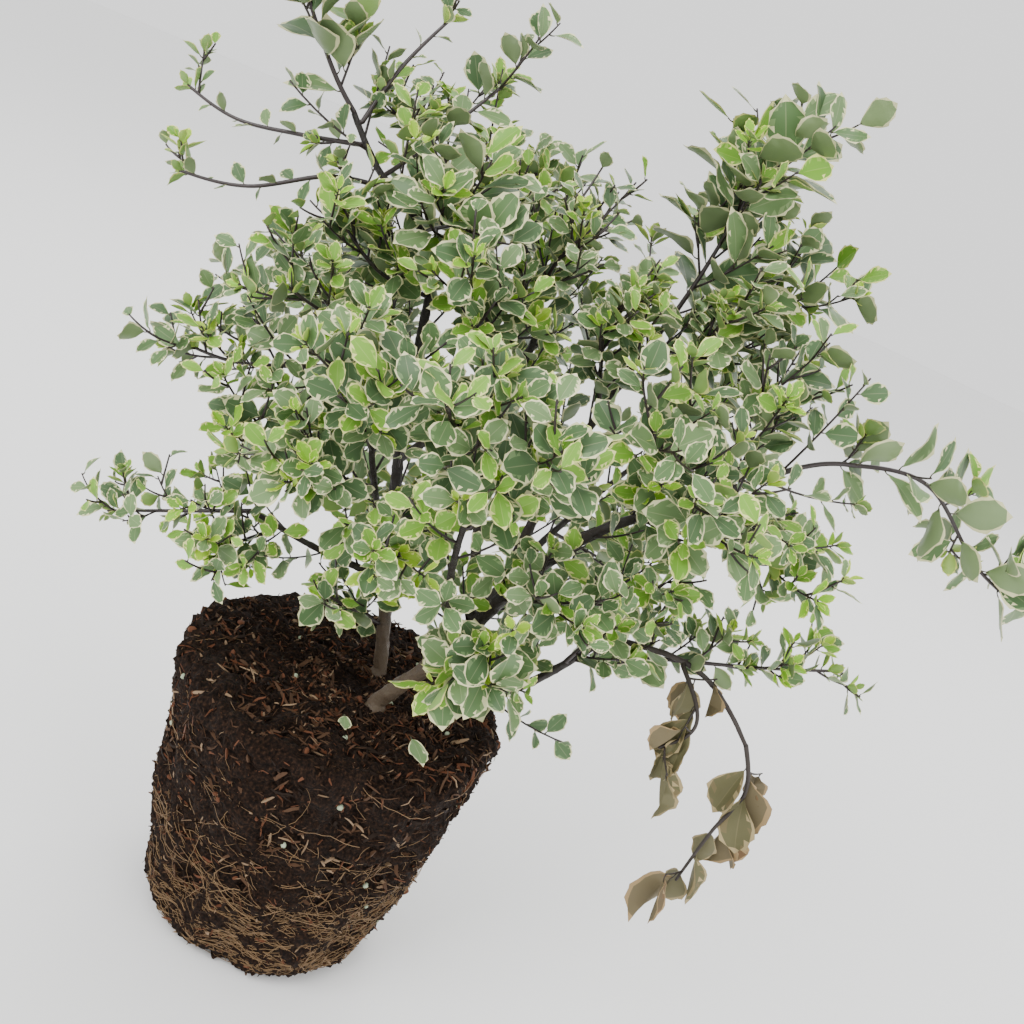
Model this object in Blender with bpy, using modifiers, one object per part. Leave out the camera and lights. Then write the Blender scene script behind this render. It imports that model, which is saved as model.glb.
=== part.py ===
# Variegated kohuhu: a young shrub out of its pot, standing on the flat underside of its root ball.
# Metres, +Z up. The origin is the centre of the root ball's underside. Seen from -Y, +X is to the right.

import math
from collections import namedtuple

import bmesh
import bpy
import numpy as np

# Root ball: the shape of a 17 cm nursery pot
BALL_HEIGHT = 0.145
BALL_TOP_RADIUS = 0.084
BALL_FOOT_RADIUS = 0.061
BALL_FLAT_RADIUS = 0.050
BALL_RIM_ROUND = 0.008
BALL_FOOT_ROUND = 0.011
BALL_STEPS = 30
BALL_LUMP = 0.0014
BALL_CALM_RADIUS = 0.034
BALL_SHOULDER_RADIUS = 0.062
BALL_RIM_TURNS = (90, 55, 20)
BALL_SIDE_HEIGHTS = (0.110, 0.080, 0.050, 0.025)

# Gaps and clearances
SEAT_GAP = 0.0003
SPACE_GAP = 0.0016
LIMB_GAP = 0.0009
SOIL_GAP = 0.0030

# Wood
MM = 0.001
STUB_LENGTH = 0.004
FLARE = 1.30
PATH_STEPS = 12
LIMB_EVERY = 6
STEM_FOOT_RADIUS = 0.0012
STEM_TIP_RADIUS = 0.0009
SHOOT_RADIUS = 0.0007
WORLD_UP = np.array((0.0, 0.0, 1.0))
CROWN_MIDDLE = np.array((0.01, 0.0, 0.26))

# Growth: each shoot or leaf is turned from the last one by a fixed angle, and leaves stand on the
# flats of their twig. Places are shares of a twig's length, and ways are mixed from the directions named.
SHOOT_TURN = math.radians(137.5)
LEAF_TURN = math.radians(120.0)
FIRST_LEAF_TURN = math.radians(60.0)
FIRST_SHOOT = 0.16
LAST_SHOOT = 0.92
SHOOT_REACHES = (1.0, 0.75, 0.55)
LEAF_SCALES = (1.0, 0.95, 0.9, 0.8, 0.75, 0.7)
STEM_LEAF_EVERY = 0.014
SHOOT_LEAF_EVERY = 0.009
STEM_FIRST_LEAF = 0.30
SHOOT_FIRST_LEAF = 0.40
LAST_LEAF = 0.93
SHOOT_LENGTHS = (0.8, 1.2)
SHOOT_LIFTS = (0.1, 0.5)
SHOOT_FORWARD = 0.5
SHOOT_SIDEWAYS = 0.9
SHOOT_OUTWARD = 0.3
LEAF_LENGTHS = (0.85, 1.1)
LEAF_FORWARD = 0.6
LEAF_SIDEWAYS = 0.9
LEAF_UPWARD = 0.1
TIP_LEAF_SIDEWAYS = 0.15
FACE_UPWARD = 0.6
FACE_OUTWARD = 0.9
FACE_FORWARD = 0.3
FACE_STRAY = 0.3

# Leaf: five corners and six faces, larger than life
LEAF_WIDTH = 0.72
LEAF_WIDEST = 0.52
LEAF_THICKNESS = 0.040
LEAF_SUNK = 0.0001
LEAF_DISH = 0.06
BLADE_START = 0.12
SHORT_EDGE = 0.00006

# A span is a heading in degrees from +X, a lift in degrees above the level, and a length in mm.
Limb = namedtuple("Limb", "parent place spans foot tip")
STEMS = {
    "stem_upright": Limb(
        (0.012, 0.018), 0, ((-163, 74, 127), (-156, 78, 87), (-177, 38, 46), (-179, 45, 25)), 3.6, 1.3
    ),
    "stem_leaning": Limb((0.019, -0.014), 0, ((-20, 63, 47), (-38, 68, 58)), 4.2, 3.1),
}
BOUGHS = {
    "bough_right": Limb("stem_leaning", 1.00, ((-12, 59, 46), (7, 42, 41), (34, 30, 54)), 2.9, 1.3),
    "bough_right_upper": Limb("stem_leaning", 0.90, ((81, 69, 65), (58, 67, 89)), 2.5, 1.3),
    "bough_low_right": Limb("stem_leaning", 0.26, ((-18, 31, 46), (0, 55, 55)), 2.6, 1.6),
    "bough_dead": Limb("bough_low_right", 1.00, ((0, 4, 44), (0, -34, 43)), 1.5, 1.0),
    "bough_centre": Limb(
        "stem_leaning", 0.72, ((146, 69, 80), (97, 65, 63), (166, 48, 45), (175, 17, 36)), 2.5, 1.1
    ),
    "bough_left": Limb("stem_upright", 0.47, ((-153, 37, 32), (-159, -8, 30)), 1.9, 1.2),
    "bough_left_low": Limb("stem_upright", 0.20, ((-162, 6, 31), (-158, 16, 40)), 1.9, 1.2),
    "bough_front_left": Limb("stem_upright", 0.33, ((-91, 21, 60), (-105, 48, 46)), 1.9, 1.2),
    "bough_front": Limb("stem_leaning", 0.60, ((-105, 46, 60), (-96, 54, 51)), 2.1, 1.2),
    "bough_back_left": Limb("stem_upright", 0.27, ((113, 31, 48), (138, 39, 47)), 2.2, 1.3),
    "bough_back": Limb("stem_upright", 0.42, ((67, 29, 57), (67, 44, 50)), 2.2, 1.3),
    "bough_back_right": Limb("stem_leaning", 0.50, ((72, 32, 78), (52, 46, 69)), 2.4, 1.3),
}

# A mass of foliage: its limb and place there, its stem's spans, its number of side shoots, and the
# lengths of a shoot and of a leaf in mm. Each leaf stands for two or three of the real plant's.
Mass = namedtuple("Mass", "limb place spans shoots shoot leaf")
MASSES = {
    "leader_top": Mass("stem_upright", 1.0, ((-174, 43, 25), (-176, 51, 53)), 4, 20, 35),
    "upper_left_high": Mass(
        "stem_upright", 0.955, ((168, -14, 31), (176, -10, 30), (176, 10, 27)), 2, 13, 17
    ),
    "upper_left_low": Mass(
        "stem_upright", 0.885, ((-161, -10, 25), (-168, -29, 35), (-173, -10, 30)), 2, 13, 18
    ),
    "upper_right_high": Mass("stem_upright", 0.985, ((60, 67, 29), (32, 63, 31)), 2, 13, 18),
    "upper_right": Mass("stem_upright", 0.90, ((51, 47, 23), (24, 58, 46)), 3, 22, 22),
    "leader_side": Mass("stem_upright", 0.80, ((-58, 20, 36),), 5, 20, 32),
    "leader_left": Mass("stem_upright", 0.70, ((-132, 11, 29), (-166, 33, 25)), 5, 24, 29),
    "second_leader_top": Mass("bough_centre", 1.0, ((180, 32, 17), (166, 9, 21)), 3, 20, 26),
    "second_leader_side": Mass("bough_centre", 0.80, ((128, 37, 30),), 5, 18, 27),
    "right_upper": Mass("bough_right_upper", 1.0, ((27, 80, 27), (25, 84, 39)), 5, 28, 32),
    "right_upper_arch": Mass("bough_right_upper", 0.96, ((36, 31, 53), (12, -1, 25)), 4, 20, 30),
    "arch_right": Mass(
        "bough_right", 1.0, ((15, 25, 25), (9, 7, 39), (8, -32, 54), (4, -13, 57)), 6, 14, 30
    ),
    "dead_tip": Mass("bough_dead", 1.0, ((-11, -65, 24), (-158, -76, 24), (-155, -82, 32)), 3, 12, 26),
    "dead_side": Mass("bough_dead", 0.42, ((-53, -34, 27), (-159, -54, 20)), 4, 14, 25),
    "low_right_tip": Mass("bough_low_right", 0.93, ((7, 17, 69), (15, 16, 42)), 4, 18, 25),
    "far_left_low": Mass("bough_left_low", 1.0, ((-176, -24, 31), (-180, -25, 42)), 4, 18, 24),
    "left_low": Mass("bough_left_low", 0.82, ((-126, -19, 32),), 5, 20, 26),
    "left_mid": Mass("bough_left", 1.0, ((-173, -19, 25), (-169, -1, 22)), 4, 20, 26),
    "left_mid_low": Mass("bough_left", 0.70, ((-133, -43, 49),), 5, 24, 29),
    "left_upper": Mass("stem_upright", 0.60, ((-133, 11, 47), (-144, 18, 28)), 5, 26, 28),
    "left_back": Mass("stem_upright", 0.55, ((159, 10, 69), (134, -22, 45)), 4, 26, 29),
    "base_left": Mass("stem_upright", 0.11, ((-131, 24, 45),), 3, 18, 26),
    "front_left_top": Mass("bough_front_left", 1.0, ((-104, 46, 37),), 5, 24, 31),
    "front_left_low": Mass("bough_front_left", 0.75, ((-134, 10, 35),), 5, 24, 29),
    "front_left_side": Mass("bough_front_left", 0.45, ((-71, 7, 54),), 5, 20, 27),
    "front_top": Mass("bough_front", 1.0, ((-130, 56, 47),), 5, 26, 29),
    "front_side": Mass("bough_front", 0.92, ((-55, 60, 49),), 5, 26, 29),
    "low_front": Mass("stem_leaning", 0.40, ((-58, 35, 56),), 5, 16, 32),
    "low_centre": Mass("stem_leaning", 0.93, ((-69, 29, 63),), 5, 24, 27),
    "low_right": Mass("bough_low_right", 0.80, ((-52, 65, 58),), 5, 22, 27),
    "centre_top": Mass("bough_centre", 0.62, ((-104, 61, 30), (-29, 66, 23)), 5, 24, 24),
    "centre_upper": Mass("bough_centre", 0.52, ((-114, 25, 41), (-127, 34, 30)), 5, 26, 29),
    "centre_right": Mass("bough_right_upper", 0.62, ((-141, 64, 45),), 5, 28, 29),
    "right_mid": Mass("bough_right_upper", 0.85, ((-23, 23, 34),), 5, 28, 30),
    "right_front": Mass("bough_right", 0.50, ((-111, 41, 64),), 5, 26, 29),
    "right_low": Mass("bough_right", 0.45, ((-59, 25, 51),), 5, 26, 30),
    "right_edge": Mass("bough_right", 0.80, ((101, 62, 43),), 5, 24, 30),
    "right_edge_low": Mass("bough_right", 0.72, ((1, -29, 42),), 4, 24, 28),
    "back_left_top": Mass("bough_back_left", 1.0, ((138, 45, 63),), 5, 30, 31),
    "back_left_low": Mass("bough_back_left", 0.60, ((154, -25, 61),), 5, 28, 31),
    "back_top": Mass("bough_back", 1.0, ((138, 67, 65),), 5, 30, 31),
    "back_mid": Mass("bough_back", 0.72, ((82, -12, 63),), 5, 30, 31),
    "back_low": Mass("stem_upright", 0.18, ((95, 22, 66),), 5, 26, 30),
    "back_right_top": Mass("bough_back_right", 1.0, ((31, 61, 68),), 5, 30, 31),
    "back_right_low": Mass("bough_back_right", 0.62, ((47, -17, 66),), 5, 30, 31),
}

# Finishes: colour, roughness
FINISHES = {
    "root_ball": ((0.045, 0.026, 0.017), 0.95),
    "bark": ((0.16, 0.12, 0.08), 0.80),
    "young_wood": ((0.030, 0.022, 0.020), 0.45),
    "dead_wood": ((0.07, 0.05, 0.035), 0.75),
    "leaf": ((0.24, 0.36, 0.13), 0.50),
    "dead_leaf": ((0.26, 0.18, 0.09), 0.80),
}


def unit(vector):
    return vector / np.linalg.norm(vector)


def smooth_path(points):
    """Points along a smooth curve through the given ones: cubic spans with each joint's mean slope."""
    points = np.array(points)
    slope = np.gradient(points, axis=0)
    if len(points) > 2:
        slope[0] = 1.5 * (points[1] - points[0]) - 0.5 * slope[1]
        slope[-1] = 1.5 * (points[-1] - points[-2]) - 0.5 * slope[-2]
    pieces = [points[:1]]
    t = np.linspace(0, 1, PATH_STEPS + 1)[1:, None]
    for a, b, m, n in zip(points[:-1], points[1:], slope[:-1], slope[1:]):
        pieces.append(
            (2 * t**3 - 3 * t**2 + 1) * a
            + (t**3 - 2 * t**2 + t) * m
            + (3 * t**2 - 2 * t**3) * b
            + (t**3 - t**2) * n
        )
    return np.concatenate(pieces)


def span_points(start, spans):
    points = [np.array(start)]
    for heading, lift, length in spans:
        turn = math.radians(heading)
        rise = math.radians(lift)
        way = np.array((math.cos(rise) * math.cos(turn), math.cos(rise) * math.sin(turn), math.sin(rise)))
        points.append(points[-1] + way * length * MM)
    return points


def length_along(path):
    return np.r_[0, np.cumsum(np.linalg.norm(np.diff(path, axis=0), axis=1))]


def place_on(path, place):
    """The point at this share of the path's length, and the path's direction there."""
    run = length_along(path)
    here = place * run[-1]
    point = np.array([np.interp(here, run, path[:, k]) for k in range(3)])
    span = min(np.searchsorted(run, here, side="right"), len(run) - 1)
    return point, unit(path[span] - path[span - 1])


def tapered(path, foot, tip):
    run = length_along(path)
    return foot + (tip - foot) * run / run[-1]


def seat_start(parent_path, parent_radii, place, spans, radius):
    """Where a branch starts, so that its foot stands the seat gap clear of the limb that carries it."""
    point, heading = place_on(parent_path, place)
    way = smooth_path(span_points(point, spans))
    way = unit(way[1] - way[0])
    if place == 1.0:
        return point + heading * (SEAT_GAP + radius * np.linalg.norm(np.cross(way, heading)))
    run = length_along(parent_path)
    wood = np.interp(place * run[-1], run, parent_radii)
    side = unit(way - heading * (way @ heading))
    return point + side * (wood + SEAT_GAP + radius * abs(way @ heading))


def lay_out_limbs():
    """Every limb's path and radii, by name. A stem rises straight out of the soil and flares at its foot."""
    limbs = {}
    for name, limb in STEMS.items():
        foot = np.array((*limb.parent, BALL_HEIGHT + SEAT_GAP))
        bend = foot + WORLD_UP * STUB_LENGTH
        path = np.concatenate([[foot], smooth_path(span_points(bend, limb.spans))])
        radii = tapered(path, limb.foot * MM, limb.tip * MM)
        radii[0] *= FLARE
        limbs[name] = (path, radii)
    for name, limb in BOUGHS.items():
        start = seat_start(*limbs[limb.parent], limb.place, limb.spans, limb.foot * MM)
        path = smooth_path(span_points(start, limb.spans))
        limbs[name] = (path, tapered(path, limb.foot * MM, limb.tip * MM))
    return limbs


def lay_out_masses(limbs):
    """Each mass's own stem, by name."""
    stems = {}
    for name, mass in MASSES.items():
        start = seat_start(*limbs[mass.limb], mass.place, mass.spans, STEM_FOOT_RADIUS)
        stems[name] = smooth_path(span_points(start, mass.spans))
    return stems


class Space:
    """The room that each mass may fill: nearer to its own stem than to any other, and clear of the limbs."""

    def __init__(self, limbs, stems):
        self.wood = np.concatenate([path for path, _ in limbs.values()])
        self.wood_radii = np.concatenate([radii for _, radii in limbs.values()])
        self.sites = np.concatenate(list(stems.values()))
        self.owners = np.concatenate([np.full(len(path), k) for k, path in enumerate(stems.values())])

    def keeps(self, owner, points, margin=0.0):
        """True where every point lies nearer to the owner's stem than to any other mass's."""
        apart = np.linalg.norm(points[:, None] - self.sites[None], axis=2)
        own = apart[:, self.owners == owner].min(axis=1)
        other = apart[:, self.owners != owner].min(axis=1)
        return bool((own + SPACE_GAP + 2 * margin < other).all())

    def above_soil(self, points):
        out = np.linalg.norm(points[:, :2], axis=1)
        return bool(((points[:, 2] > BALL_HEIGHT + SOIL_GAP) | (out > BALL_TOP_RADIUS + SOIL_GAP)).all())

    def twig_fits(self, owner, points, radius):
        apart = np.linalg.norm(points[:, None] - self.wood[None], axis=2) - self.wood_radii
        clear = (apart > radius + LIMB_GAP).all()
        return bool(clear) and self.keeps(owner, points, radius) and self.above_soil(points)

    def leaf_fits(self, owner, leaf):
        """True where no limb passes through the leaf's lozenge, and its rim keeps to the owner's room."""
        root, along, across, facing, length = leaf
        local = (self.wood - root) @ np.array((along, across, facing)).T
        edge = self.wood_radii + LIMB_GAP
        middle = np.clip(1 - abs(local[:, 0] / length - LEAF_WIDEST) / LEAF_WIDEST, 0, 1)
        beside = abs(local[:, 1]) < LEAF_WIDTH / 2 * length * middle + edge
        level = abs(local[:, 2]) < edge + (LEAF_DISH + LEAF_THICKNESS) * length
        within = (local[:, 0] > -edge) & (local[:, 0] < length + edge)
        if (beside & level & within).any():
            return False
        corners = leaf_corners(leaf)
        points = np.concatenate([corners, (corners[:4] + np.roll(corners[:4], -1, axis=0)) / 2])
        return self.keeps(owner, points) and self.above_soil(points)


def across_pair(heading):
    """Two directions square to this one, the second the nearer to upright."""
    level = np.cross(heading, WORLD_UP)
    if np.linalg.norm(level) < 0.1:
        level = np.cross(heading, np.array((0.0, 1.0, 0.0)))
    level = unit(level)
    return level, np.cross(level, heading)


def grow_shoots(space, owner, mass, stem, rng):
    """Side shoots along the stem, each bending up and out, and skipped where it would leave the mass's space."""
    shoots = []
    turn = rng.uniform(0, 2 * math.pi)
    for k in range(mass.shoots):
        place = FIRST_SHOOT + (LAST_SHOOT - FIRST_SHOOT) * (k + 0.5) / mass.shoots
        foot, heading = place_on(stem, place)
        turn += SHOOT_TURN
        length = mass.shoot * MM * rng.uniform(*SHOOT_LENGTHS)
        lift = rng.uniform(*SHOOT_LIFTS)
        level, upright = across_pair(heading)
        outward = unit(foot - CROWN_MIDDLE)
        for reach in SHOOT_REACHES:
            side = math.cos(turn) * level + math.sin(turn) * upright
            way = SHOOT_FORWARD * heading + SHOOT_SIDEWAYS * side + SHOOT_OUTWARD * outward
            way = unit(way + lift * WORLD_UP)
            shoot = foot + way * length * reach * np.linspace(0, 1, 5)[:, None]
            if space.twig_fits(owner, shoot[1:], SHOOT_RADIUS):
                shoots.append(shoot)
                break
            turn += SHOOT_TURN
    return shoots


def grow_leaves(space, owner, mass, twig, count, first, rng, leaves, wood):
    """Alternate leaves along a twig and one at its tip, with their upper sides turned up and out.
    A leaf that would cut through another, or through a twig of the same mass, is skipped."""
    turn = FIRST_LEAF_TURN + LEAF_TURN * rng.integers(3)
    for place in np.linspace(first, LAST_LEAF, count):
        root, heading = place_on(twig, place)
        turn += LEAF_TURN
        level, upright = across_pair(heading)
        length = mass.leaf * MM * rng.uniform(*LEAF_LENGTHS)
        outward = unit(root - CROWN_MIDDLE)
        stray = rng.normal(0, FACE_STRAY, 3)
        for scale in LEAF_SCALES:
            side = math.cos(turn) * level + math.sin(turn) * upright
            spread = TIP_LEAF_SIDEWAYS if place == LAST_LEAF else LEAF_SIDEWAYS
            along = unit(LEAF_FORWARD * heading + spread * side + LEAF_UPWARD * WORLD_UP)
            facing = FACE_UPWARD * WORLD_UP + FACE_OUTWARD * outward + FACE_FORWARD * heading + stray
            facing = unit(facing - along * (facing @ along))
            leaf = (root, along, np.cross(facing, along), facing, length * scale)
            blade = blade_of(leaf)[None]
            others = np.array([blade_of(other) for other in leaves])
            free = not crosses(wood, blade)
            if free and len(leaves):
                free = not crosses(edges_of(blade), others) and not crosses(edges_of(others), blade)
            if free and space.leaf_fits(owner, leaf):
                leaves.append(leaf)
                break
            turn += LEAF_TURN


def blade_of(leaf):
    """The leaf's flat outline, drawn in a little from its root."""
    outline = leaf_corners(leaf)[:4]
    outline[0] += (outline[2] - outline[0]) * BLADE_START
    return outline


def crosses(edges, blades):
    """True where an edge passes through a blade: each blade is two triangles."""
    start = edges[:, None, 0]
    way = edges[:, None, 1] - start
    for order in ((0, 1, 3), (2, 3, 1)):
        corner, one, two = (blades[None, :, k] for k in order)
        one = one - corner
        two = two - corner
        cross = np.cross(way, two)
        span = (one * cross).sum(axis=2)
        span = np.where(abs(span) < 1e-15, 1e-15, span)
        u = ((start - corner) * cross).sum(axis=2) / span
        turned = np.cross(start - corner, one)
        v = (way * turned).sum(axis=2) / span
        t = (two * turned).sum(axis=2) / span
        if ((u > 0) & (v > 0) & (u + v < 1) & (t > 0) & (t < 1)).any():
            return True
    return False


def edges_of(blades):
    """Every blade's rim, and the line from its root to its tip."""
    rim = np.stack([blades, np.roll(blades, -1, axis=1)], axis=2).reshape(-1, 2, 3)
    return np.concatenate([rim, blades[:, (0, 2)]])


def leaf_corners(leaf):
    """Root, right, tip and left round the edge, then the middle of the underside."""
    root, along, across, facing, length = leaf
    local = np.array(
        (
            (-LEAF_SUNK / length, 0, 0),
            (LEAF_WIDEST, LEAF_WIDTH / 2, LEAF_DISH),
            (1, 0, 0),
            (LEAF_WIDEST, -LEAF_WIDTH / 2, LEAF_DISH),
            (LEAF_WIDEST, 0, LEAF_DISH - LEAF_THICKNESS),
        )
    )
    return root + local * length @ np.array((along, across, facing))


def leaf_object(leaf, collection):
    upper = [(0, 1, 3), (1, 2, 3)]
    under = [((k + 1) % 4, k, 4) for k in range(4)]
    return mesh_object("leaf", leaf_corners(leaf), upper + under, collection)


def twig_object(path, foot, tip, collection):
    """A three-sided tapering tube that ends in a point."""
    points = []
    for k, (middle, radius) in enumerate(zip(path[:-1], tapered(path, foot, tip))):
        heading = unit(path[k + 1] - path[max(k - 1, 0)])
        level, upright = across_pair(heading)
        for side in range(3):
            turn = 2 * math.pi * side / 3
            points.append(middle + radius * (math.cos(turn) * level + math.sin(turn) * upright))
    last = len(points) - 3
    faces = [(2, 1, 0)]
    for side in range(3):
        after = (side + 1) % 3
        faces += [
            (ring + side, ring + after, ring + 3 + after, ring + 3 + side) for ring in range(0, last, 3)
        ]
        faces.append((last + side, last + after, last + 3))
    return mesh_object("twig", [*points, path[-1]], faces, collection)


def mesh_object(name, points, faces, collection):
    mesh = bpy.data.meshes.new(name)
    mesh.from_pydata([tuple(point) for point in points], [], faces)
    shape = bmesh.new()
    shape.from_mesh(mesh)
    bmesh.ops.recalc_face_normals(shape, faces=shape.faces)
    bmesh.ops.triangulate(shape, faces=shape.faces)
    shape.to_mesh(mesh)
    shape.free()
    made = bpy.data.objects.new(name, mesh)
    collection.objects.link(made)
    return made


def remove_objects(objects):
    for old in list(objects):
        mesh = old.data
        bpy.data.objects.remove(old, do_unlink=True)
        if isinstance(mesh, bpy.types.Mesh) and mesh.users == 0:
            bpy.data.meshes.remove(mesh)


def largest_shell(mesh):
    """Drops loose scraps and sealed hollows, so that one closed body is left, and closes up its shortest edges."""
    shape = bmesh.new()
    shape.from_mesh(mesh)
    bmesh.ops.triangulate(shape, faces=shape.faces)
    todo = set(shape.faces)
    shells = []
    while todo:
        shell = set()
        edge = [todo.pop()]
        while edge:
            face = edge.pop()
            shell.add(face)
            near = {other for side in face.edges for other in side.link_faces} & todo
            todo -= near
            edge += near
        shells.append(shell)
    keep = max(shells, key=len)
    bmesh.ops.delete(shape, geom=[face for face in shape.faces if face not in keep], context="FACES")
    merged = shape.copy()
    bmesh.ops.remove_doubles(merged, verts=merged.verts, dist=SHORT_EDGE)
    whole = all(edge.is_manifold and edge.is_contiguous for edge in merged.edges)
    (merged if whole else shape).to_mesh(mesh)
    merged.free()
    shape.free()


def fuse(name, pieces, finish, collection):
    """One Boolean union of the collection's pieces, applied, with the pieces then removed."""
    stem = pieces.objects[0]
    pieces.objects.unlink(stem)
    stem.name = name
    collection.objects.link(stem)
    union = stem.modifiers.new("Union", "BOOLEAN")
    union.operation = "UNION"
    union.operand_type = "COLLECTION"
    union.collection = pieces
    union.solver = "MANIFOLD"
    graph = bpy.context.evaluated_depsgraph_get()
    mesh = bpy.data.meshes.new_from_object(stem.evaluated_get(graph))
    stem.modifiers.clear()
    loose = stem.data
    stem.data = mesh
    bpy.data.meshes.remove(loose)
    remove_objects(pieces.objects)
    largest_shell(mesh)
    mesh.name = name
    mesh.materials.clear()
    mesh.materials.append(finish)
    return stem


def make_mass(name, owner, space, stem, collection, finish):
    mass = MASSES[name]
    rng = np.random.default_rng(owner)
    pieces = bpy.data.collections.new("pieces")
    bpy.context.scene.collection.children.link(pieces)
    twig_object(stem[:: PATH_STEPS // 2], STEM_FOOT_RADIUS, STEM_TIP_RADIUS, pieces)
    shoots = grow_shoots(space, owner, mass, stem, rng)
    for shoot in shoots:
        twig_object(shoot[[0, -1]], SHOOT_RADIUS, SHOOT_RADIUS, pieces)
    stem_leaves = max(2, round(length_along(stem)[-1] / STEM_LEAF_EVERY))
    wood = np.concatenate([np.stack([twig[:-1], twig[1:]], axis=1) for twig in (stem, *shoots)])
    leaves = []
    grow_leaves(space, owner, mass, stem, stem_leaves, STEM_FIRST_LEAF, rng, leaves, wood)
    for shoot in shoots:
        count = max(2, round(length_along(shoot)[-1] / SHOOT_LEAF_EVERY))
        grow_leaves(space, owner, mass, shoot, count, SHOOT_FIRST_LEAF, rng, leaves, wood)
    for leaf in leaves:
        leaf_object(leaf, pieces)
    made = fuse(name, pieces, finish, collection)
    bpy.data.collections.remove(pieces)
    print(name, "shoots", len(shoots), "leaves", len(leaves), "triangles", len(made.data.polygons))
    return len(leaves)


def make_limb(name, path, radii, finish, collection):
    """A round tapering tube along the limb's path, through its ends and every few points between."""
    path = np.concatenate([path[:2], path[LIMB_EVERY:-1:LIMB_EVERY], path[-1:]])
    radii = np.concatenate([radii[:2], radii[LIMB_EVERY:-1:LIMB_EVERY], radii[-1:]])
    curve = bpy.data.curves.new(name, "CURVE")
    curve.dimensions = "3D"
    curve.bevel_depth = 1.0
    curve.bevel_resolution = 1
    curve.use_fill_caps = True
    spline = curve.splines.new("POLY")
    spline.points.add(len(path) - 1)
    for point, place, radius in zip(spline.points, path, radii):
        point.co = (*place, 1)
        point.radius = radius
    curve.materials.append(finish)
    limb = bpy.data.objects.new(name, curve)
    collection.objects.link(limb)


def make_root_ball(finish, collection):
    """A turned block with a rounded rim and foot, its sides and outer top a little lumpy."""
    slope = (BALL_TOP_RADIUS - BALL_FOOT_RADIUS) / BALL_HEIGHT
    profile = [(out, BALL_HEIGHT) for out in (0, BALL_CALM_RADIUS, BALL_SHOULDER_RADIUS)]
    for turn in (math.radians(degrees) for degrees in BALL_RIM_TURNS):
        out = BALL_TOP_RADIUS - BALL_RIM_ROUND * (1 - math.cos(turn))
        profile.append((out, BALL_HEIGHT - BALL_RIM_ROUND * (1 - math.sin(turn))))
    for height in BALL_SIDE_HEIGHTS:
        profile.append((BALL_FOOT_RADIUS + slope * height, height))
    profile.append((BALL_FOOT_RADIUS, BALL_FOOT_ROUND))
    profile.append(((BALL_FOOT_RADIUS + BALL_FLAT_RADIUS) / 2, BALL_FOOT_ROUND * 0.2))
    profile += [(BALL_FLAT_RADIUS, 0), (0, 0)]
    mesh = bpy.data.meshes.new("root_ball")
    edges = [(k, k + 1) for k in range(len(profile) - 1)]
    mesh.from_pydata([(out, 0, height) for out, height in profile], edges, [])
    turned = bpy.data.objects.new("turned", mesh)
    collection.objects.link(turned)
    screw = turned.modifiers.new("Screw", "SCREW")
    screw.steps = BALL_STEPS
    screw.render_steps = BALL_STEPS
    screw.use_merge_vertices = True
    screw.merge_threshold = 0.00005
    graph = bpy.context.evaluated_depsgraph_get()
    block = bpy.data.meshes.new_from_object(turned.evaluated_get(graph))
    remove_objects([turned])
    for vertex in block.vertices:
        x, y, z = vertex.co
        out = math.hypot(x, y)
        if out <= BALL_CALM_RADIUS + 0.001 or z < BALL_FOOT_ROUND * 0.5:
            continue
        turn = math.atan2(y, x)
        lump = math.sin(5 * turn + 40 * z) + 0.8 * math.sin(9 * turn - 90 * z + 1)
        lump += 0.6 * math.sin(14 * turn + 2)
        vertex.co.x += x / out * lump * BALL_LUMP
        vertex.co.y += y / out * lump * BALL_LUMP
        if z > BALL_HEIGHT - BALL_RIM_ROUND:
            vertex.co.z -= abs(math.sin(3 * turn + 60 * out)) * BALL_LUMP
    block.materials.append(finish)
    block.name = "root_ball"
    collection.objects.link(bpy.data.objects.new("root_ball", block))


def make_finishes():
    finishes = {}
    for name, (colour, roughness) in FINISHES.items():
        material = bpy.data.materials.new(name)
        material.use_nodes = True
        shader = material.node_tree.nodes["Principled BSDF"]
        shader.inputs["Base Color"].default_value = (*colour, 1)
        shader.inputs["Roughness"].default_value = roughness
        shader.inputs["Metallic"].default_value = 0
        finishes[name] = material
    return finishes


def limb_finish(name):
    if name in STEMS:
        return "bark"
    return "dead_wood" if "dead" in name else "young_wood"


def main():
    remove_objects(bpy.data.objects)
    shrub = bpy.data.collections.new("variegated_kohuhu")
    bpy.context.scene.collection.children.link(shrub)
    finishes = make_finishes()
    make_root_ball(finishes["root_ball"], shrub)
    limbs = lay_out_limbs()
    for name, (path, radii) in limbs.items():
        make_limb(name, path, radii, finishes[limb_finish(name)], shrub)
    stems = lay_out_masses(limbs)
    space = Space(limbs, stems)
    leaves = 0
    for owner, name in enumerate(MASSES):
        finish = finishes["dead_leaf" if "dead" in name else "leaf"]
        leaves += make_mass(name, owner, space, stems[name], shrub, finish)
    print("leaves in all", leaves)


main()
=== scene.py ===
# Variegated kohuhu: a young shrub out of its pot, standing on its bare root ball.
# Metres, +Z up. The origin is the centre of the root ball's underside, and the front faces -Y.
import math

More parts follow.
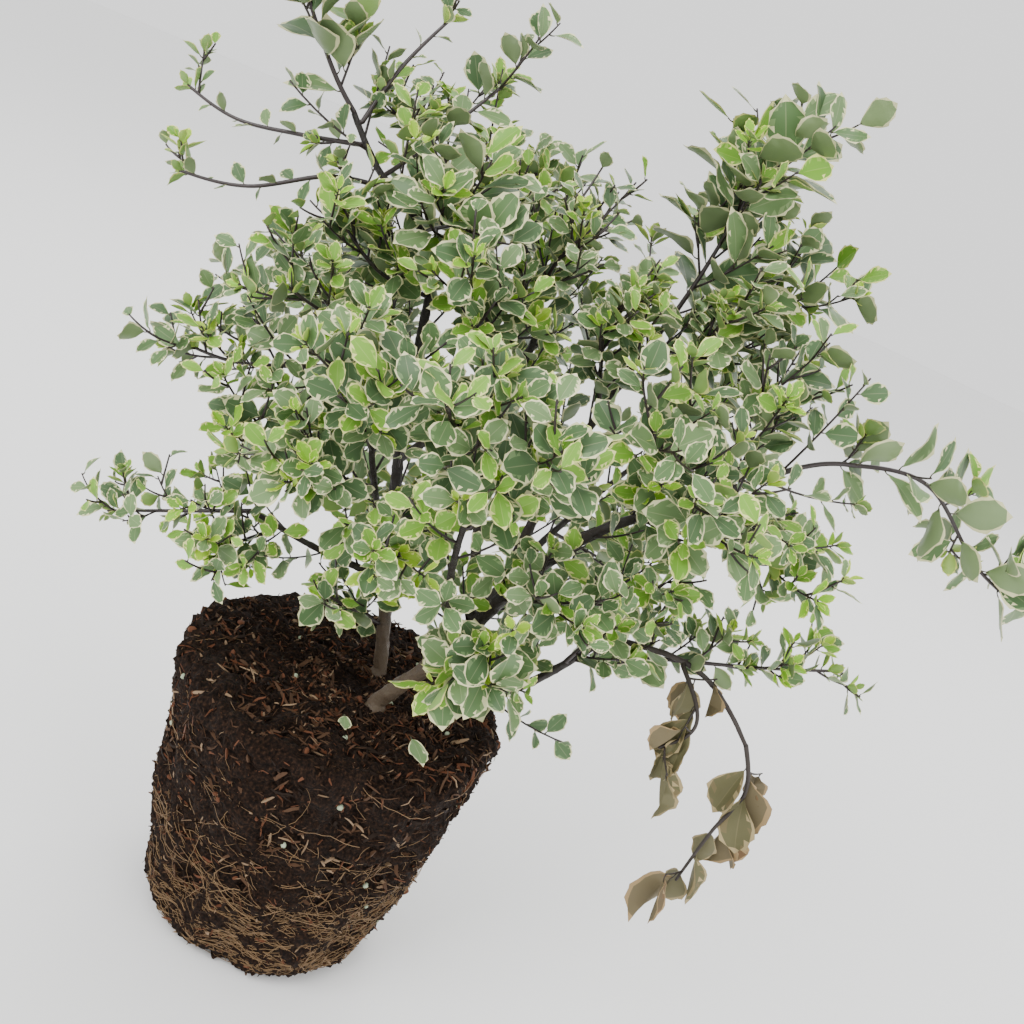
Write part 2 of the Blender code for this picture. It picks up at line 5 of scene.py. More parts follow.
import bpy
import numpy as np
from mathutils import Matrix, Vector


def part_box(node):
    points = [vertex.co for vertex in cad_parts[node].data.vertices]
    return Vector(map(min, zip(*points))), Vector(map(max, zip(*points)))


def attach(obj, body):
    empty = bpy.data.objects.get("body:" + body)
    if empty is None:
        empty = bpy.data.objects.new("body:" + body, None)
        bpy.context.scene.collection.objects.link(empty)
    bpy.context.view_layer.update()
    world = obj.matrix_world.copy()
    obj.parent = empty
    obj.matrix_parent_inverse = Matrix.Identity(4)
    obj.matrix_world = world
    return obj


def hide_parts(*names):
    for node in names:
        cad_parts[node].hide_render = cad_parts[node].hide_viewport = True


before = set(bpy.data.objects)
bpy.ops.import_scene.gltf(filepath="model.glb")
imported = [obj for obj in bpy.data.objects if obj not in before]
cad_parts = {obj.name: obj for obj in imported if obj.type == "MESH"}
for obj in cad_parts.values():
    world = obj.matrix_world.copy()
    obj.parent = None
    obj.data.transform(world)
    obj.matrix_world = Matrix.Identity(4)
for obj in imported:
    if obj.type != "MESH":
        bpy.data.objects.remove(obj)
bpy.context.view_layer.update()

mm = 0.001
up = np.array((0.0, 0.0, 1.0))
front = np.array((0.0, -1.0, 0.0))
crownMiddle = np.array((0.01, 0.0, 0.26))
goldenTurn = math.radians(137.5)
print("frame loaded:", len(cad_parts), "nodes")

# Limbs: what carries each, the share of the carrier's length where it starts, its spans, and its radii in mm
# at foot and tip. A span is a heading in degrees from +X, a lift in degrees above level and a length in mm.
stems = {
    "stem_upright": (
        (0.012, 0.018), 0, ((-163, 74, 127), (-156, 78, 87), (-177, 38, 46), (-179, 45, 25)), 3.6, 1.3
    ),
    "stem_leaning": ((0.019, -0.014), 0, ((-20, 63, 47), (-38, 68, 58)), 4.2, 3.1),
}
boughs = {
    "bough_right": ("stem_leaning", 1.00, ((-12, 59, 46), (7, 42, 41), (34, 30, 54)), 2.9, 1.3),
    "bough_right_upper": ("stem_leaning", 0.90, ((81, 69, 65), (58, 67, 89)), 2.5, 1.3),
    "bough_low_right": ("stem_leaning", 0.26, ((-18, 31, 46), (0, 55, 55)), 2.6, 1.6),
    "bough_dead": ("bough_low_right", 1.00, ((0, 4, 44), (0, -34, 43)), 1.5, 1.0),
    "bough_centre": (
        "stem_leaning", 0.72, ((146, 69, 80), (97, 65, 63), (166, 48, 45), (175, 17, 36)), 2.5, 1.1
    ),
    "bough_left": ("stem_upright", 0.47, ((-153, 37, 32), (-159, -8, 30)), 1.9, 1.2),
    "bough_left_low": ("stem_upright", 0.20, ((-162, 6, 31), (-158, 16, 40)), 1.9, 1.2),
    "bough_front_left": ("stem_upright", 0.33, ((-91, 21, 60), (-105, 48, 46)), 1.9, 1.2),
    "bough_front": ("stem_leaning", 0.60, ((-105, 46, 60), (-96, 54, 51)), 2.1, 1.2),
    "bough_back_left": ("stem_upright", 0.27, ((113, 31, 48), (138, 39, 47)), 2.2, 1.3),
    "bough_back": ("stem_upright", 0.42, ((67, 29, 57), (67, 44, 50)), 2.2, 1.3),
    "bough_back_right": ("stem_leaning", 0.50, ((72, 32, 78), (52, 46, 69)), 2.4, 1.3),
}

# Sprays of foliage: limb, share of its length, spans of the spray's own stem, side shoots, and the length in
# mm of a side shoot and of a solid's leaf.
masses = {
    "leader_top": ("stem_upright", 1.0, ((-174, 43, 25), (-176, 51, 53)), 4, 20, 35),
    "upper_left_high": ("stem_upright", 0.955, ((168, -14, 31), (176, -10, 30), (176, 10, 27)), 2, 13, 17),
    "upper_left_low": (
        "stem_upright", 0.885, ((-161, -10, 25), (-168, -29, 35), (-173, -10, 30)), 2, 13, 18
    ),
    "upper_right_high": ("stem_upright", 0.985, ((60, 67, 29), (32, 63, 31)), 2, 13, 18),
    "upper_right": ("stem_upright", 0.90, ((51, 47, 23), (24, 58, 46)), 3, 22, 22),
    "leader_side": ("stem_upright", 0.80, ((-58, 20, 36),), 5, 20, 32),
    "leader_left": ("stem_upright", 0.70, ((-132, 11, 29), (-166, 33, 25)), 5, 24, 29),
    "second_leader_top": ("bough_centre", 1.0, ((180, 32, 17), (166, 9, 21)), 3, 20, 26),
    "second_leader_side": ("bough_centre", 0.80, ((128, 37, 30),), 5, 18, 27),
    "right_upper": ("bough_right_upper", 1.0, ((27, 80, 27), (25, 84, 39)), 5, 28, 32),
    "right_upper_arch": ("bough_right_upper", 0.96, ((36, 31, 53), (12, -1, 25)), 4, 20, 30),
    "arch_right": ("bough_right", 1.0, ((15, 25, 25), (9, 7, 39), (8, -32, 54), (4, -13, 57)), 6, 14, 30),
    "dead_tip": ("bough_dead", 1.0, ((-11, -65, 24), (-158, -76, 24), (-155, -82, 32)), 3, 12, 26),
    "dead_side": ("bough_dead", 0.42, ((-53, -34, 27), (-159, -54, 20)), 4, 14, 25),
    "low_right_tip": ("bough_low_right", 0.93, ((7, 17, 69), (15, 16, 42)), 4, 18, 25),
    "far_left_low": ("bough_left_low", 1.0, ((-176, -24, 31), (-180, -25, 42)), 4, 18, 24),
    "left_low": ("bough_left_low", 0.82, ((-126, -19, 32),), 5, 20, 26),
    "left_mid": ("bough_left", 1.0, ((-173, -19, 25), (-169, -1, 22)), 4, 20, 26),
    "left_mid_low": ("bough_left", 0.70, ((-133, -43, 49),), 5, 24, 29),
    "left_upper": ("stem_upright", 0.60, ((-133, 11, 47), (-144, 18, 28)), 5, 26, 28),
    "left_back": ("stem_upright", 0.55, ((159, 10, 69), (134, -22, 45)), 4, 26, 29),
    "base_left": ("stem_upright", 0.11, ((-131, 24, 45),), 3, 18, 26),
    "front_left_top": ("bough_front_left", 1.0, ((-104, 46, 37),), 5, 24, 31),
    "front_left_low": ("bough_front_left", 0.75, ((-134, 10, 35),), 5, 24, 29),
    "front_left_side": ("bough_front_left", 0.45, ((-71, 7, 54),), 5, 20, 27),
    "front_top": ("bough_front", 1.0, ((-130, 56, 47),), 5, 26, 29),
    "front_side": ("bough_front", 0.92, ((-55, 60, 49),), 5, 26, 29),
    "low_front": ("stem_leaning", 0.40, ((-58, 35, 56),), 5, 16, 32),
    "low_centre": ("stem_leaning", 0.93, ((-69, 29, 63),), 5, 24, 27),
    "low_right": ("bough_low_right", 0.80, ((-52, 65, 58),), 5, 22, 27),
    "centre_top": ("bough_centre", 0.62, ((-104, 61, 30), (-29, 66, 23)), 5, 24, 24),
    "centre_upper": ("bough_centre", 0.52, ((-114, 25, 41), (-127, 34, 30)), 5, 26, 29),
    "centre_right": ("bough_right_upper", 0.62, ((-141, 64, 45),), 5, 28, 29),
    "right_mid": ("bough_right_upper", 0.85, ((-23, 23, 34),), 5, 28, 30),
    "right_front": ("bough_right", 0.50, ((-111, 41, 64),), 5, 26, 29),
    "right_low": ("bough_right", 0.45, ((-59, 25, 51),), 5, 26, 30),
    "right_edge": ("bough_right", 0.80, ((101, 62, 43),), 5, 24, 30),
    "right_edge_low": ("bough_right", 0.72, ((1, -29, 42),), 4, 24, 28),
    "back_left_top": ("bough_back_left", 1.0, ((138, 45, 63),), 5, 30, 31),
    "back_left_low": ("bough_back_left", 0.60, ((154, -25, 61),), 5, 28, 31),
    "back_top": ("bough_back", 1.0, ((138, 67, 65),), 5, 30, 31),
    "back_mid": ("bough_back", 0.72, ((82, -12, 63),), 5, 30, 31),
    "back_low": ("stem_upright", 0.18, ((95, 22, 66),), 5, 26, 30),
    "back_right_top": ("bough_back_right", 1.0, ((31, 61, 68),), 5, 30, 31),
    "back_right_low": ("bough_back_right", 0.62, ((47, -17, 66),), 5, 30, 31),
}

growth = {
    "pathSteps": 12,
    "stub": 0.004,  # a stem's straight foot
    "flare": 1.30,
    "seat": 0.0003,  # a branch starts this far off its limb's bark
    "sprayFoot": 0.0012,
    "sprayTip": 0.0007,
    "shootFoot": 0.00062,
    "shootTip": 0.00040,
    "stemSides": 7,
    "shootSides": 4,
    "shootPoints": 7,
    "roomReach": 0.13,  # how far round a spray its neighbours are looked at
    "moreShoots": 1.7,  # for each side shoot of a solid
    "sparseShoots": 1.1,
    "shootSpread": (0.14, 0.94),
    "shootReach": (0.8, 1.45),  # of the length asked for
    "shootLift": (0.1, 0.5),
    "shootWay": (0.55, 0.9, 0.3),  # shares of the twig's heading, the side and outward
    "shootBend": 0.22,
    "placeSlack": 0.03,
    "shootTries": (1.0, 0.8, 0.6),  # shares of the reach, tried until one is free
    "shootSlack": 0.004,
    "forkOver": 0.013,  # a longer shoot forks
    "forkShare": 0.55,
    "forkSpread": (0.4, 0.75),
    "stemLeafEvery": 0.0080,
    "shootLeafEvery": 0.0066,
    "deadWider": (1.6, 1.8),  # times the two spaces above
    "firstLeaf": (0.12, 0.25, 0.3),  # place on a spray's stem, a shoot and a fork
    "lastLeaf": 0.92,
    "leafSlack": 0.006,  # how far a leaf may pass the middle between two sprays
    "limbGap": 0.0008,
    "soilGap": 0.002,
    "leafShare": 0.74,  # of the length of a solid's leaf
    "largeLeafShare": 1.0,
    "deadLeafShare": 1.35,
    "forkLeafShare": 0.85,
    "leafSizes": (0.72, 1.12),
    "tipSmaller": 0.25,
    "nextTint": 0.15,  # odds that the tint changes
    "leafWay": (0.55, 0.9, 0.12),  # shares of the twig's heading, the side and up
    "deadWay": (0.2, 0.35, 1.0),  # the same, and down
    "deadOutward": 0.4,
    "leafFacing": (0.55, 0.85, 0.3),  # shares of up, outward and the twig's heading
    "stray": 0.50,
    "frontward": 0.6,  # how far leaves turn to the side with the light
    "youngForks": 0.45,
    "freshRosettes": 0.6,
    "rosetteOdds": (1.0, 0.45, 0.22),  # at the tip of a spray's stem, a shoot and a fork
    "turnTries": 5,
    "tryShorter": 0.07,
}
largeLeaved = {
    "leader_top", "leader_side", "arch_right", "right_upper", "right_upper_arch", "low_front", "upper_right",
}
sparse = {"arch_right", "upper_left_high", "upper_left_low", "upper_right_high", "upper_right", "leader_top"}
deadSprays = {"dead_tip", "dead_side"}


def unit(vectors):
    return vectors / np.linalg.norm(vectors, axis=-1, keepdims=True)


def threes(*parts):
    # x, y and z as points, or three corners as triangles
    return np.stack(parts, axis=-1)


def smoothPath(points):
    # cubic between neighbours a and b with slopes m and n:
    # (2 t3 - 3 t2 + 1) a + (t3 - 2 t2 + t) m + (3 t2 - 2 t3) b + (t3 - t2) n
    points = np.array(points)
    slope = np.gradient(points, axis=0)
    if len(points) > 2:
        slope[0] = 1.5 * (points[1] - points[0]) - 0.5 * slope[1]
        slope[-1] = 1.5 * (points[-1] - points[-2]) - 0.5 * slope[-2]
    t = np.linspace(0, 1, growth["pathSteps"] + 1)[1:, None]
    a, b, m, n = (x[:, None] for x in (points[:-1], points[1:], slope[:-1], slope[1:]))
    spans = (2 * t**3 - 3 * t**2 + 1) * a + (t**3 - 2 * t**2 + t) * m
    spans = spans + (3 * t**2 - 2 * t**3) * b + (t**3 - t**2) * n
    return np.concatenate([points[:1], spans.reshape(-1, 3)])


def spanPoints(start, spans):
    # each next point is the last one plus length * (cos lift cos heading, cos lift sin heading, sin lift)
    heading, lift, length = np.array(spans, float).T
    heading, lift = np.radians(heading), np.radians(lift)
    ways = np.stack([np.cos(lift) * np.cos(heading), np.cos(lift) * np.sin(heading), np.sin(lift)], axis=1)
    return np.concatenate([[start], start + np.cumsum(ways * length[:, None] * mm, axis=0)])


def lengthAlong(path):
    return np.r_[0, np.cumsum(np.linalg.norm(np.diff(path, axis=0), axis=1))]


def placeOn(path, place):
    # the point at this share of the path's length, and the way the path runs there
    run = lengthAlong(path)
    here = place * run[-1]
    point = np.array([np.interp(here, run, path[:, k]) for k in range(3)])
    span = min(np.searchsorted(run, here, side="right"), len(run) - 1)
    return point, unit(path[span] - path[span - 1])


def tapered(path, foot, tip):
    run = lengthAlong(path)
    return foot + (tip - foot) * run / run[-1]


def seatStart(parentPath, parentRadii, place, spans, radius):
    # where a branch leaves the bark of the limb that carries it
    point, heading = placeOn(parentPath, place)
    way = smoothPath(spanPoints(point, spans))
    way = unit(way[1] - way[0])
    if place == 1.0:
        return point + heading * (growth["seat"] + radius * np.linalg.norm(np.cross(way, heading)))
    run = lengthAlong(parentPath)
    wood = np.interp(place * run[-1], run, parentRadii)
    side = unit(way - heading * (way @ heading))
    return point + side * (wood + growth["seat"] + radius * abs(way @ heading))


def layOutLimbs(soil):
    limbs = {}
    for name, (base, place, spans, foot, tip) in stems.items():
        start = np.array((*base, soil))
        path = np.concatenate([[start], smoothPath(spanPoints(start + up * growth["stub"], spans))])
        radii = tapered(path, foot * mm, tip * mm)
        radii[0] *= growth["flare"]
        limbs[name] = (path, radii)
    for name, (parent, place, spans, foot, tip) in boughs.items():
        start = seatStart(*limbs[parent], place, spans, foot * mm)
        path = smoothPath(spanPoints(start, spans))
        limbs[name] = (path, tapered(path, foot * mm, tip * mm))
    return limbs


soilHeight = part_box("root_ball")[1][2]
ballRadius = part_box("root_ball")[1][0]
limbs = layOutLimbs(soilHeight + growth["seat"])
sprayStems = {}
for name, (limb, place, spans, *_) in masses.items():
    start = seatStart(*limbs[limb], place, spans, growth["sprayFoot"])
    sprayStems[name] = smoothPath(spanPoints(start, spans))
wood = np.concatenate([path for path, _ in limbs.values()])
woodRadii = np.concatenate([radii for _, radii in limbs.values()])
print("limbs laid out:", len(limbs), "and sprays:", len(sprayStems))


def roomOf(name):
    # the points of this spray's stem, of the other sprays' stems near it, and of the limbs near it
    own = sprayStems[name]
    middle = own.mean(axis=0)
    others = np.concatenate([path for other, path in sprayStems.items() if other != name])
    others = others[np.linalg.norm(others - middle, axis=1) < growth["roomReach"]]
    near = np.linalg.norm(wood - middle, axis=1) < growth["roomReach"]
    return own, others, wood[near], woodRadii[near]


def keepsTo(room, points, slack):
    # nearer to its own stem than to another spray's, but for the slack, and off the soil
    own = np.linalg.norm(points[:, None] - room[0][None], axis=2).min(axis=1)
    other = np.linalg.norm(points[:, None] - room[1][None], axis=2).min(axis=1)
    out = np.linalg.norm(points[:, :2], axis=1)
    aboveSoil = (points[:, 2] > soilHeight + growth["soilGap"]) | (out > ballRadius + growth["soilGap"])
    return bool((own < other + slack).all() and aboveSoil.all())


def clearOfLimbs(room, points, radius):
    apart = np.linalg.norm(points[:, None] - room[2][None], axis=2) - room[3]
    return bool((apart > radius + growth["limbGap"]).all())


def acrossPair(heading):
    level = np.cross(heading, up)
    if np.linalg.norm(level) < 0.1:
        level = np.cross(heading, np.array((0.0, 1.0, 0.0)))
    level = unit(level)
    return level, np.cross(level, heading)


def growShoots(twig, count, length, room, rng, spread):
    # a shoot is foot + reach (s way + s2 bend up), and each one's side is turned 137.5 degrees further
    ahead, aside, out = growth["shootWay"]
    shoots = []
    turn = rng.uniform(0, 2 * math.pi)
    s = np.linspace(0, 1, growth["shootPoints"])[:, None]
    slack = growth["placeSlack"]
    for place in np.linspace(*spread, count):
        foot, heading = placeOn(twig, min(1.0, place + rng.uniform(-slack, slack)))
        turn += goldenTurn
        reach = length * rng.uniform(*growth["shootReach"])
        lift = rng.uniform(*growth["shootLift"])
        level, upright = acrossPair(heading)
        outward = unit(foot - crownMiddle)
        for share in growth["shootTries"]:
            side = math.cos(turn) * level + math.sin(turn) * upright
            way = unit(ahead * heading + aside * side + lift * up + out * outward)
            shoot = foot + reach * share * (s * way + s**2 * growth["shootBend"] * up)
            free = clearOfLimbs(room, shoot[3:], growth["sprayTip"])
            if free and keepsTo(room, shoot[2:], growth["shootSlack"]):
                shoots.append(shoot)
                break
            turn += goldenTurn
    return shoots


def lozenge(leaf):
    # the four corners of a leaf's outline, drawn in from its root
    root, along, across, facing, length, width = leaf[:6]
    local = np.array(((0.12, 0, 0), (0.52, width / 2, 0.05), (1, 0, 0), (0.52, -width / 2, 0.05)))
    return root + local * length @ np.array((along, across, facing))


def crosses(edges, blades):
    # true where an edge a + t w meets a triangle c + u p + v q of a blade, with t from 0 to 1 and u, v and
    # 1 - u - v above 0
    start = edges[:, None, 0]
    way = edges[:, None, 1] - start
    for order in ((0, 1, 3), (2, 3, 1)):
        corner, p, q = (blades[None, :, k] for k in order)
        p, q = p - corner, q - corner
        turned = np.cross(way, q)
        span = (p * turned).sum(axis=2)
        span = np.where(abs(span) < 1e-15, 1e-15, span)
        u = ((start - corner) * turned).sum(axis=2) / span
        swept = np.cross(start - corner, p)
        v = (way * swept).sum(axis=2) / span
        t = (q * swept).sum(axis=2) / span
        if ((u > 0) & (v > 0) & (u + v < 1) & (t > 0) & (t < 1)).any():
            return True
    return False


def edgesOf(blades):
    rim = np.stack([blades, np.roll(blades, -1, axis=1)], axis=2).reshape(-1, 2, 3)
    return np.concatenate([rim, blades[:, (0, 2)]])


# The ranges that each leaf's shape is drawn from. Fold and droop are slopes, the rest shares of its length.
leafKinds = {
    "mature": {"width": (0.52, 0.66), "fold": (0.02, 0.30), "droop": (-0.04, 0.22), "wave": (0.2, 1.0)},
    "young": {"width": (0.47, 0.60), "fold": (0.10, 0.40), "droop": (-0.10, 0.12), "wave": (0.2, 0.8)},
    "fresh": {"width": (0.40, 0.54), "fold": (0.20, 0.50), "droop": (-0.16, 0.06), "wave": (0.1, 0.5)},
    "dead": {"width": (0.50, 0.68), "fold": (0.3, 1.0), "droop": (-0.1, 0.4), "wave": (0.8, 1.8)},
}
tints = {"mature": (0, 1, 2), "young": (3, 4), "fresh": (5, 6), "dead": (7, 8)}  # rows of leafPalette below


def drawLeaf(kind, tint, root, along, facing, length, rng):
    shape = leafKinds[kind]
    facing = unit(facing - along * (facing @ along))
    drawn = [rng.uniform(*shape[key]) for key in ("width", "fold", "droop", "wave")]
    return (root, along, np.cross(facing, along), facing, length, *drawn, rng.uniform(0, 6.28), tint)


def growLeaves(twig, every, first, length, kind, room, rng, leaves, sticks):
    # alternate leaves, each turned 137.5 degrees from the last, with their upper sides up and out. One
    # that meets a twig or another leaf is turned on and tried again, a little shorter
    ahead, aside, rise = growth["deadWay" if kind == "dead" else "leafWay"]
    upShare, outShare, aheadShare = growth["leafFacing"]
    turn = rng.uniform(0, 2 * math.pi)
    tint = rng.choice(tints[kind])
    count = max(2, round(lengthAlong(twig)[-1] / every))
    for place in np.linspace(first, growth["lastLeaf"], count):
        root, heading = placeOn(twig, place)
        turn += goldenTurn
        level, upright = acrossPair(heading)
        outward = unit(root - crownMiddle)
        stray = rng.normal(0, growth["stray"], 3)
        size = length * rng.uniform(*growth["leafSizes"]) * (1.0 - growth["tipSmaller"] * place)
        if rng.uniform() < growth["nextTint"]:
            tint = rng.choice(tints[kind])
        for attempt in range(growth["turnTries"]):
            side = math.cos(turn) * level + math.sin(turn) * upright
            if kind == "dead":
                along = unit(ahead * heading + aside * side - rise * up)
                facing = side + growth["deadOutward"] * outward + stray
            else:
                along = unit(ahead * heading + aside * side + rise * up)
                facing = upShare * up + outShare * outward + aheadShare * heading
                facing = facing + growth["frontward"] * front + stray
            tried = size * (1 - growth["tryShorter"] * attempt)
            leaf = drawLeaf(kind, tint, root, along, facing, tried, rng)
            blade = lozenge(leaf)
            free = clearOfLimbs(room, blade, 0.0) and keepsTo(room, blade[1:], growth["leafSlack"])
            free = free and not crosses(sticks, blade[None])
            if free and leaves:
                others = np.array([lozenge(other) for other in leaves[-40:]])
                free = not crosses(edgesOf(blade[None]), others)
                free = free and not crosses(edgesOf(others), blade[None])
            if free:
                leaves.append(leaf)
                break
            turn += goldenTurn


rosette = {
    "leaves": (4, 7),
    "length": 0.0115,
    "lengths": (0.85, 1.2),  # times the length
    "innerShorter": 0.5,
    "ahead": (0.35, 0.9),  # share of the twig's heading in the outer leaf's way, and what an inner one adds
    "aside": (1.0, 0.35),  # share of the side, and what an inner one loses
    "rise": 0.1,
    "step": 0.001,  # from leaf to leaf along the twig
    "faceUp": 0.3,
}


def growRosette(twig, kind, room, rng, leaves):
    # a ring of small leaves round the tip, the inner ones shorter and steeper
    tip, heading = placeOn(twig, 1.0)
    level, upright = acrossPair(heading)
    turn = rng.uniform(0, 2 * math.pi)
    tint = rng.choice(tints[kind])
    count = rng.integers(*rosette["leaves"])
    (ahead, aheadMore), (aside, asideLess) = rosette["ahead"], rosette["aside"]
    for k in range(count):
        turn += goldenTurn
        inner = k / count
        side = math.cos(turn) * level + math.sin(turn) * upright
        along = (ahead + aheadMore * inner) * heading + (aside - asideLess * inner) * side
        along = unit(along + rosette["rise"] * up)
        size = rosette["length"] * (1.0 - rosette["innerShorter"] * inner) * rng.uniform(*rosette["lengths"])
        foot = tip - heading * rosette["step"] * (count - k)
        leaf = drawLeaf(kind, tint, foot, along, heading + rosette["faceUp"] * up, size, rng)
        blade = lozenge(leaf)
        if clearOfLimbs(room, blade, 0.0) and keepsTo(room, blade[1:], growth["leafSlack"]):
            leaves.append(leaf)


def growSpray(name, owner):
    # the spray's stem with its shoots, forks and leaves: the solid's own rule, carried to finer twigs
    *_, shootCount, shootLength, leafLength = masses[name]
    rng = np.random.default_rng(100 + owner)
    room = roomOf(name)
    stem = sprayStems[name]
    dead = name in deadSprays
    share = growth["deadLeafShare" if dead else "largeLeafShare" if name in largeLeaved else "leafShare"]
    length = leafLength * mm * share
    count = round(shootCount * (growth["sparseShoots"] if dead or name in sparse else growth["moreShoots"]))
    shoots = growShoots(stem, count, shootLength * mm, room, rng, growth["shootSpread"])
    forks = []
    for shoot in shoots:
        if lengthAlong(shoot)[-1] > growth["forkOver"] and not dead:
            forkLength = shootLength * mm * growth["forkShare"]
            forks += growShoots(shoot, 2, forkLength, room, rng, growth["forkSpread"])
    sticks = np.concatenate([np.stack([twig[1:-1], twig[2:]], axis=1) for twig in (stem, *shoots)])
    leaves = []
    lot = "dead" if dead else "mature"
    stemWider, shootWider = growth["deadWider"] if dead else (1.0, 1.0)
    onStem, onShoot, onFork = growth["firstLeaf"]
    every = growth["stemLeafEvery"] * stemWider
    growLeaves(stem, every, onStem, length, lot, room, rng, leaves, sticks)
    every = growth["shootLeafEvery"] * shootWider
    for shoot in shoots:
        growLeaves(shoot, every, onShoot, length, lot, room, rng, leaves, sticks)
    for fork in forks:
        kind = "young" if rng.uniform() < growth["youngForks"] else "mature"
        growLeaves(fork, every, onFork, length * growth["forkLeafShare"], kind, room, rng, leaves, sticks)
    if not dead:
        for twigs, odds in zip(((stem,), shoots, forks), growth["rosetteOdds"]):
            for twig in twigs:
                if rng.uniform() < odds:
                    kind = "fresh" if rng.uniform() < growth["freshRosettes"] else "young"
                    growRosette(twig, kind, room, rng, leaves)
    return stem, shoots + forks, leaves


sprays = {name: growSpray(name, owner) for owner, name in enumerate(masses)}
print("grown:", sum(len(leaves) for _, _, leaves in sprays.values()), "leaves")

limbShoots = {
    "every": 0.0130,
    "length": 0.034,
    "leaf": 0.0175,
    "first": {"stem_upright": 0.20, "stem_leaning": 0.30},  # as a share of the limb's length
    "otherFirst": 0.18,
    "last": 0.97,
    "reach": 0.2,
    "young": 0.25,
    "rosettes": 0.4,
    "fresh": 0.5,
}


def growOnLimb(name, owner):
    # short leafy shoots straight off a limb, which fill the crown's inside
    path = limbs[name][0]
    rng = np.random.default_rng(500 + owner)
    near = np.linalg.norm(wood - path.mean(axis=0), axis=1) < limbShoots["reach"]
    noOther = np.array([(9.0, 9.0, 9.0)])
    room = (path, noOther, wood[near], woodRadii[near])
    first = limbShoots["first"].get(name, limbShoots["otherFirst"])
    count = max(2, int(lengthAlong(path)[-1] * (1 - first) / limbShoots["every"]))
    shoots = growShoots(path, count, limbShoots["length"], room, rng, (first, limbShoots["last"]))
    *_, onFork = growth["firstLeaf"]
    every, length = growth["shootLeafEvery"], limbShoots["leaf"]
    leaves = []
    for shoot in shoots:
        sticks = np.stack([shoot[2:-1], shoot[3:]], axis=1)
        kind = "young" if rng.uniform() < limbShoots["young"] else "mature"
        growLeaves(shoot, every, onFork, length, kind, room, rng, leaves, sticks)
        if rng.uniform() < limbShoots["rosettes"]:
            kind = "fresh" if rng.uniform() < limbShoots["fresh"] else "young"
            growRosette(shoot, kind, room, rng, leaves)
    return shoots, leaves


inner = {name: growOnLimb(name, owner) for owner, name in enumerate(limbs) if "dead" not in name}
print("grown on limbs:", sum(len(leaves) for _, leaves in inner.values()), "leaves")

leafPalette = {  # one row a tint: the inside, the streaks beside the rim, and the rim
    "sage": ((0.094, 0.174, 0.060), (0.185, 0.280, 0.110), (0.70, 0.68, 0.38)),
    "deepSage": ((0.064, 0.124, 0.046), (0.135, 0.215, 0.088), (0.64, 0.63, 0.35)),
    "paleSage": ((0.140, 0.230, 0.088), (0.240, 0.340, 0.145), (0.74, 0.72, 0.42)),
    "young": ((0.140, 0.310, 0.028), (0.250, 0.410, 0.065), (0.66, 0.67, 0.22)),
    "youngPale": ((0.180, 0.370, 0.040), (0.300, 0.470, 0.080), (0.70, 0.71, 0.25)),
    "fresh": ((0.215, 0.450, 0.022), (0.340, 0.550, 0.050), (0.66, 0.72, 0.16)),
    "freshYellow": ((0.310, 0.520, 0.030), (0.440, 0.620, 0.070), (0.72, 0.76, 0.20)),
    "deadOlive": ((0.105, 0.098, 0.044), (0.140, 0.112, 0.052), (0.33, 0.26, 0.13)),
    "deadTan": ((0.118, 0.084, 0.040), (0.150, 0.088, 0.040), (0.36, 0.25, 0.12)),
}
leafFinish = {
    "roughness": (0.40, 0.56),
    "dry": 0.25,  # rougher by this where dead
    "bump": 0.10,
    "gloss": 0.32,
    "ribPaler": 0.14,
    "underPaler": 0.45,
    "underGrey": (0.24, 0.29, 0.15),
    "deadGrey": (0.14, 0.125, 0.07),
    "underRim": 0.8,
}


def newMaterial(name, roughness):
    material = bpy.data.materials.new(name)
    material.use_nodes = True
    shader = material.node_tree.nodes["Principled BSDF"]
    shader.inputs["Roughness"].default_value = roughness
    return material, material.node_tree, shader


def surfaceGroup():
    # two noises on Object coordinates: a fine one for the bump's height, a broad one for the roughness
    group = bpy.data.node_groups.new("surfaceGrain", "ShaderNodeTree")
    for label, low in (("Broad Scale", 60.0), ("Fine Scale", 600.0), ("Least", 0.4), ("Most", 0.6)):
        socket = group.interface.new_socket(label, in_out="INPUT", socket_type="NodeSocketFloat")
        socket.default_value = low
    for label in ("Roughness", "Height", "Patches"):
        group.interface.new_socket(label, in_out="OUTPUT", socket_type="NodeSocketFloat")
    nodes, links = group.nodes, group.links
    given, result = nodes.new("NodeGroupInput"), nodes.new("NodeGroupOutput")
    place = nodes.new("ShaderNodeTexCoord")
    broad, fine = nodes.new("ShaderNodeTexNoise"), nodes.new("ShaderNodeTexNoise")
    spread = nodes.new("ShaderNodeMapRange")
    broad.inputs["Detail"].default_value = 3.0
    fine.inputs["Detail"].default_value = 6.0
    for noise, scale in ((broad, "Broad Scale"), (fine, "Fine Scale")):
        links.new(place.outputs["Object"], noise.inputs["Vector"])
        links.new(given.outputs[scale], noise.inputs["Scale"])
    spread.inputs["From Min"].default_value = 0.35
    spread.inputs["From Max"].default_value = 0.65
    links.new(broad.outputs["Fac"], spread.inputs["Value"])
    links.new(given.outputs["Least"], spread.inputs["To Min"])
    links.new(given.outputs["Most"], spread.inputs["To Max"])
    links.new(spread.outputs["Result"], result.inputs["Roughness"])
    links.new(fine.outputs["Fac"], result.inputs["Height"])
    links.new(broad.outputs["Fac"], result.inputs["Patches"])
    return group


surfaceGrain = surfaceGroup()


def setGloss(shader, level):
    shader.inputs["Specular IOR Level"].default_value = level


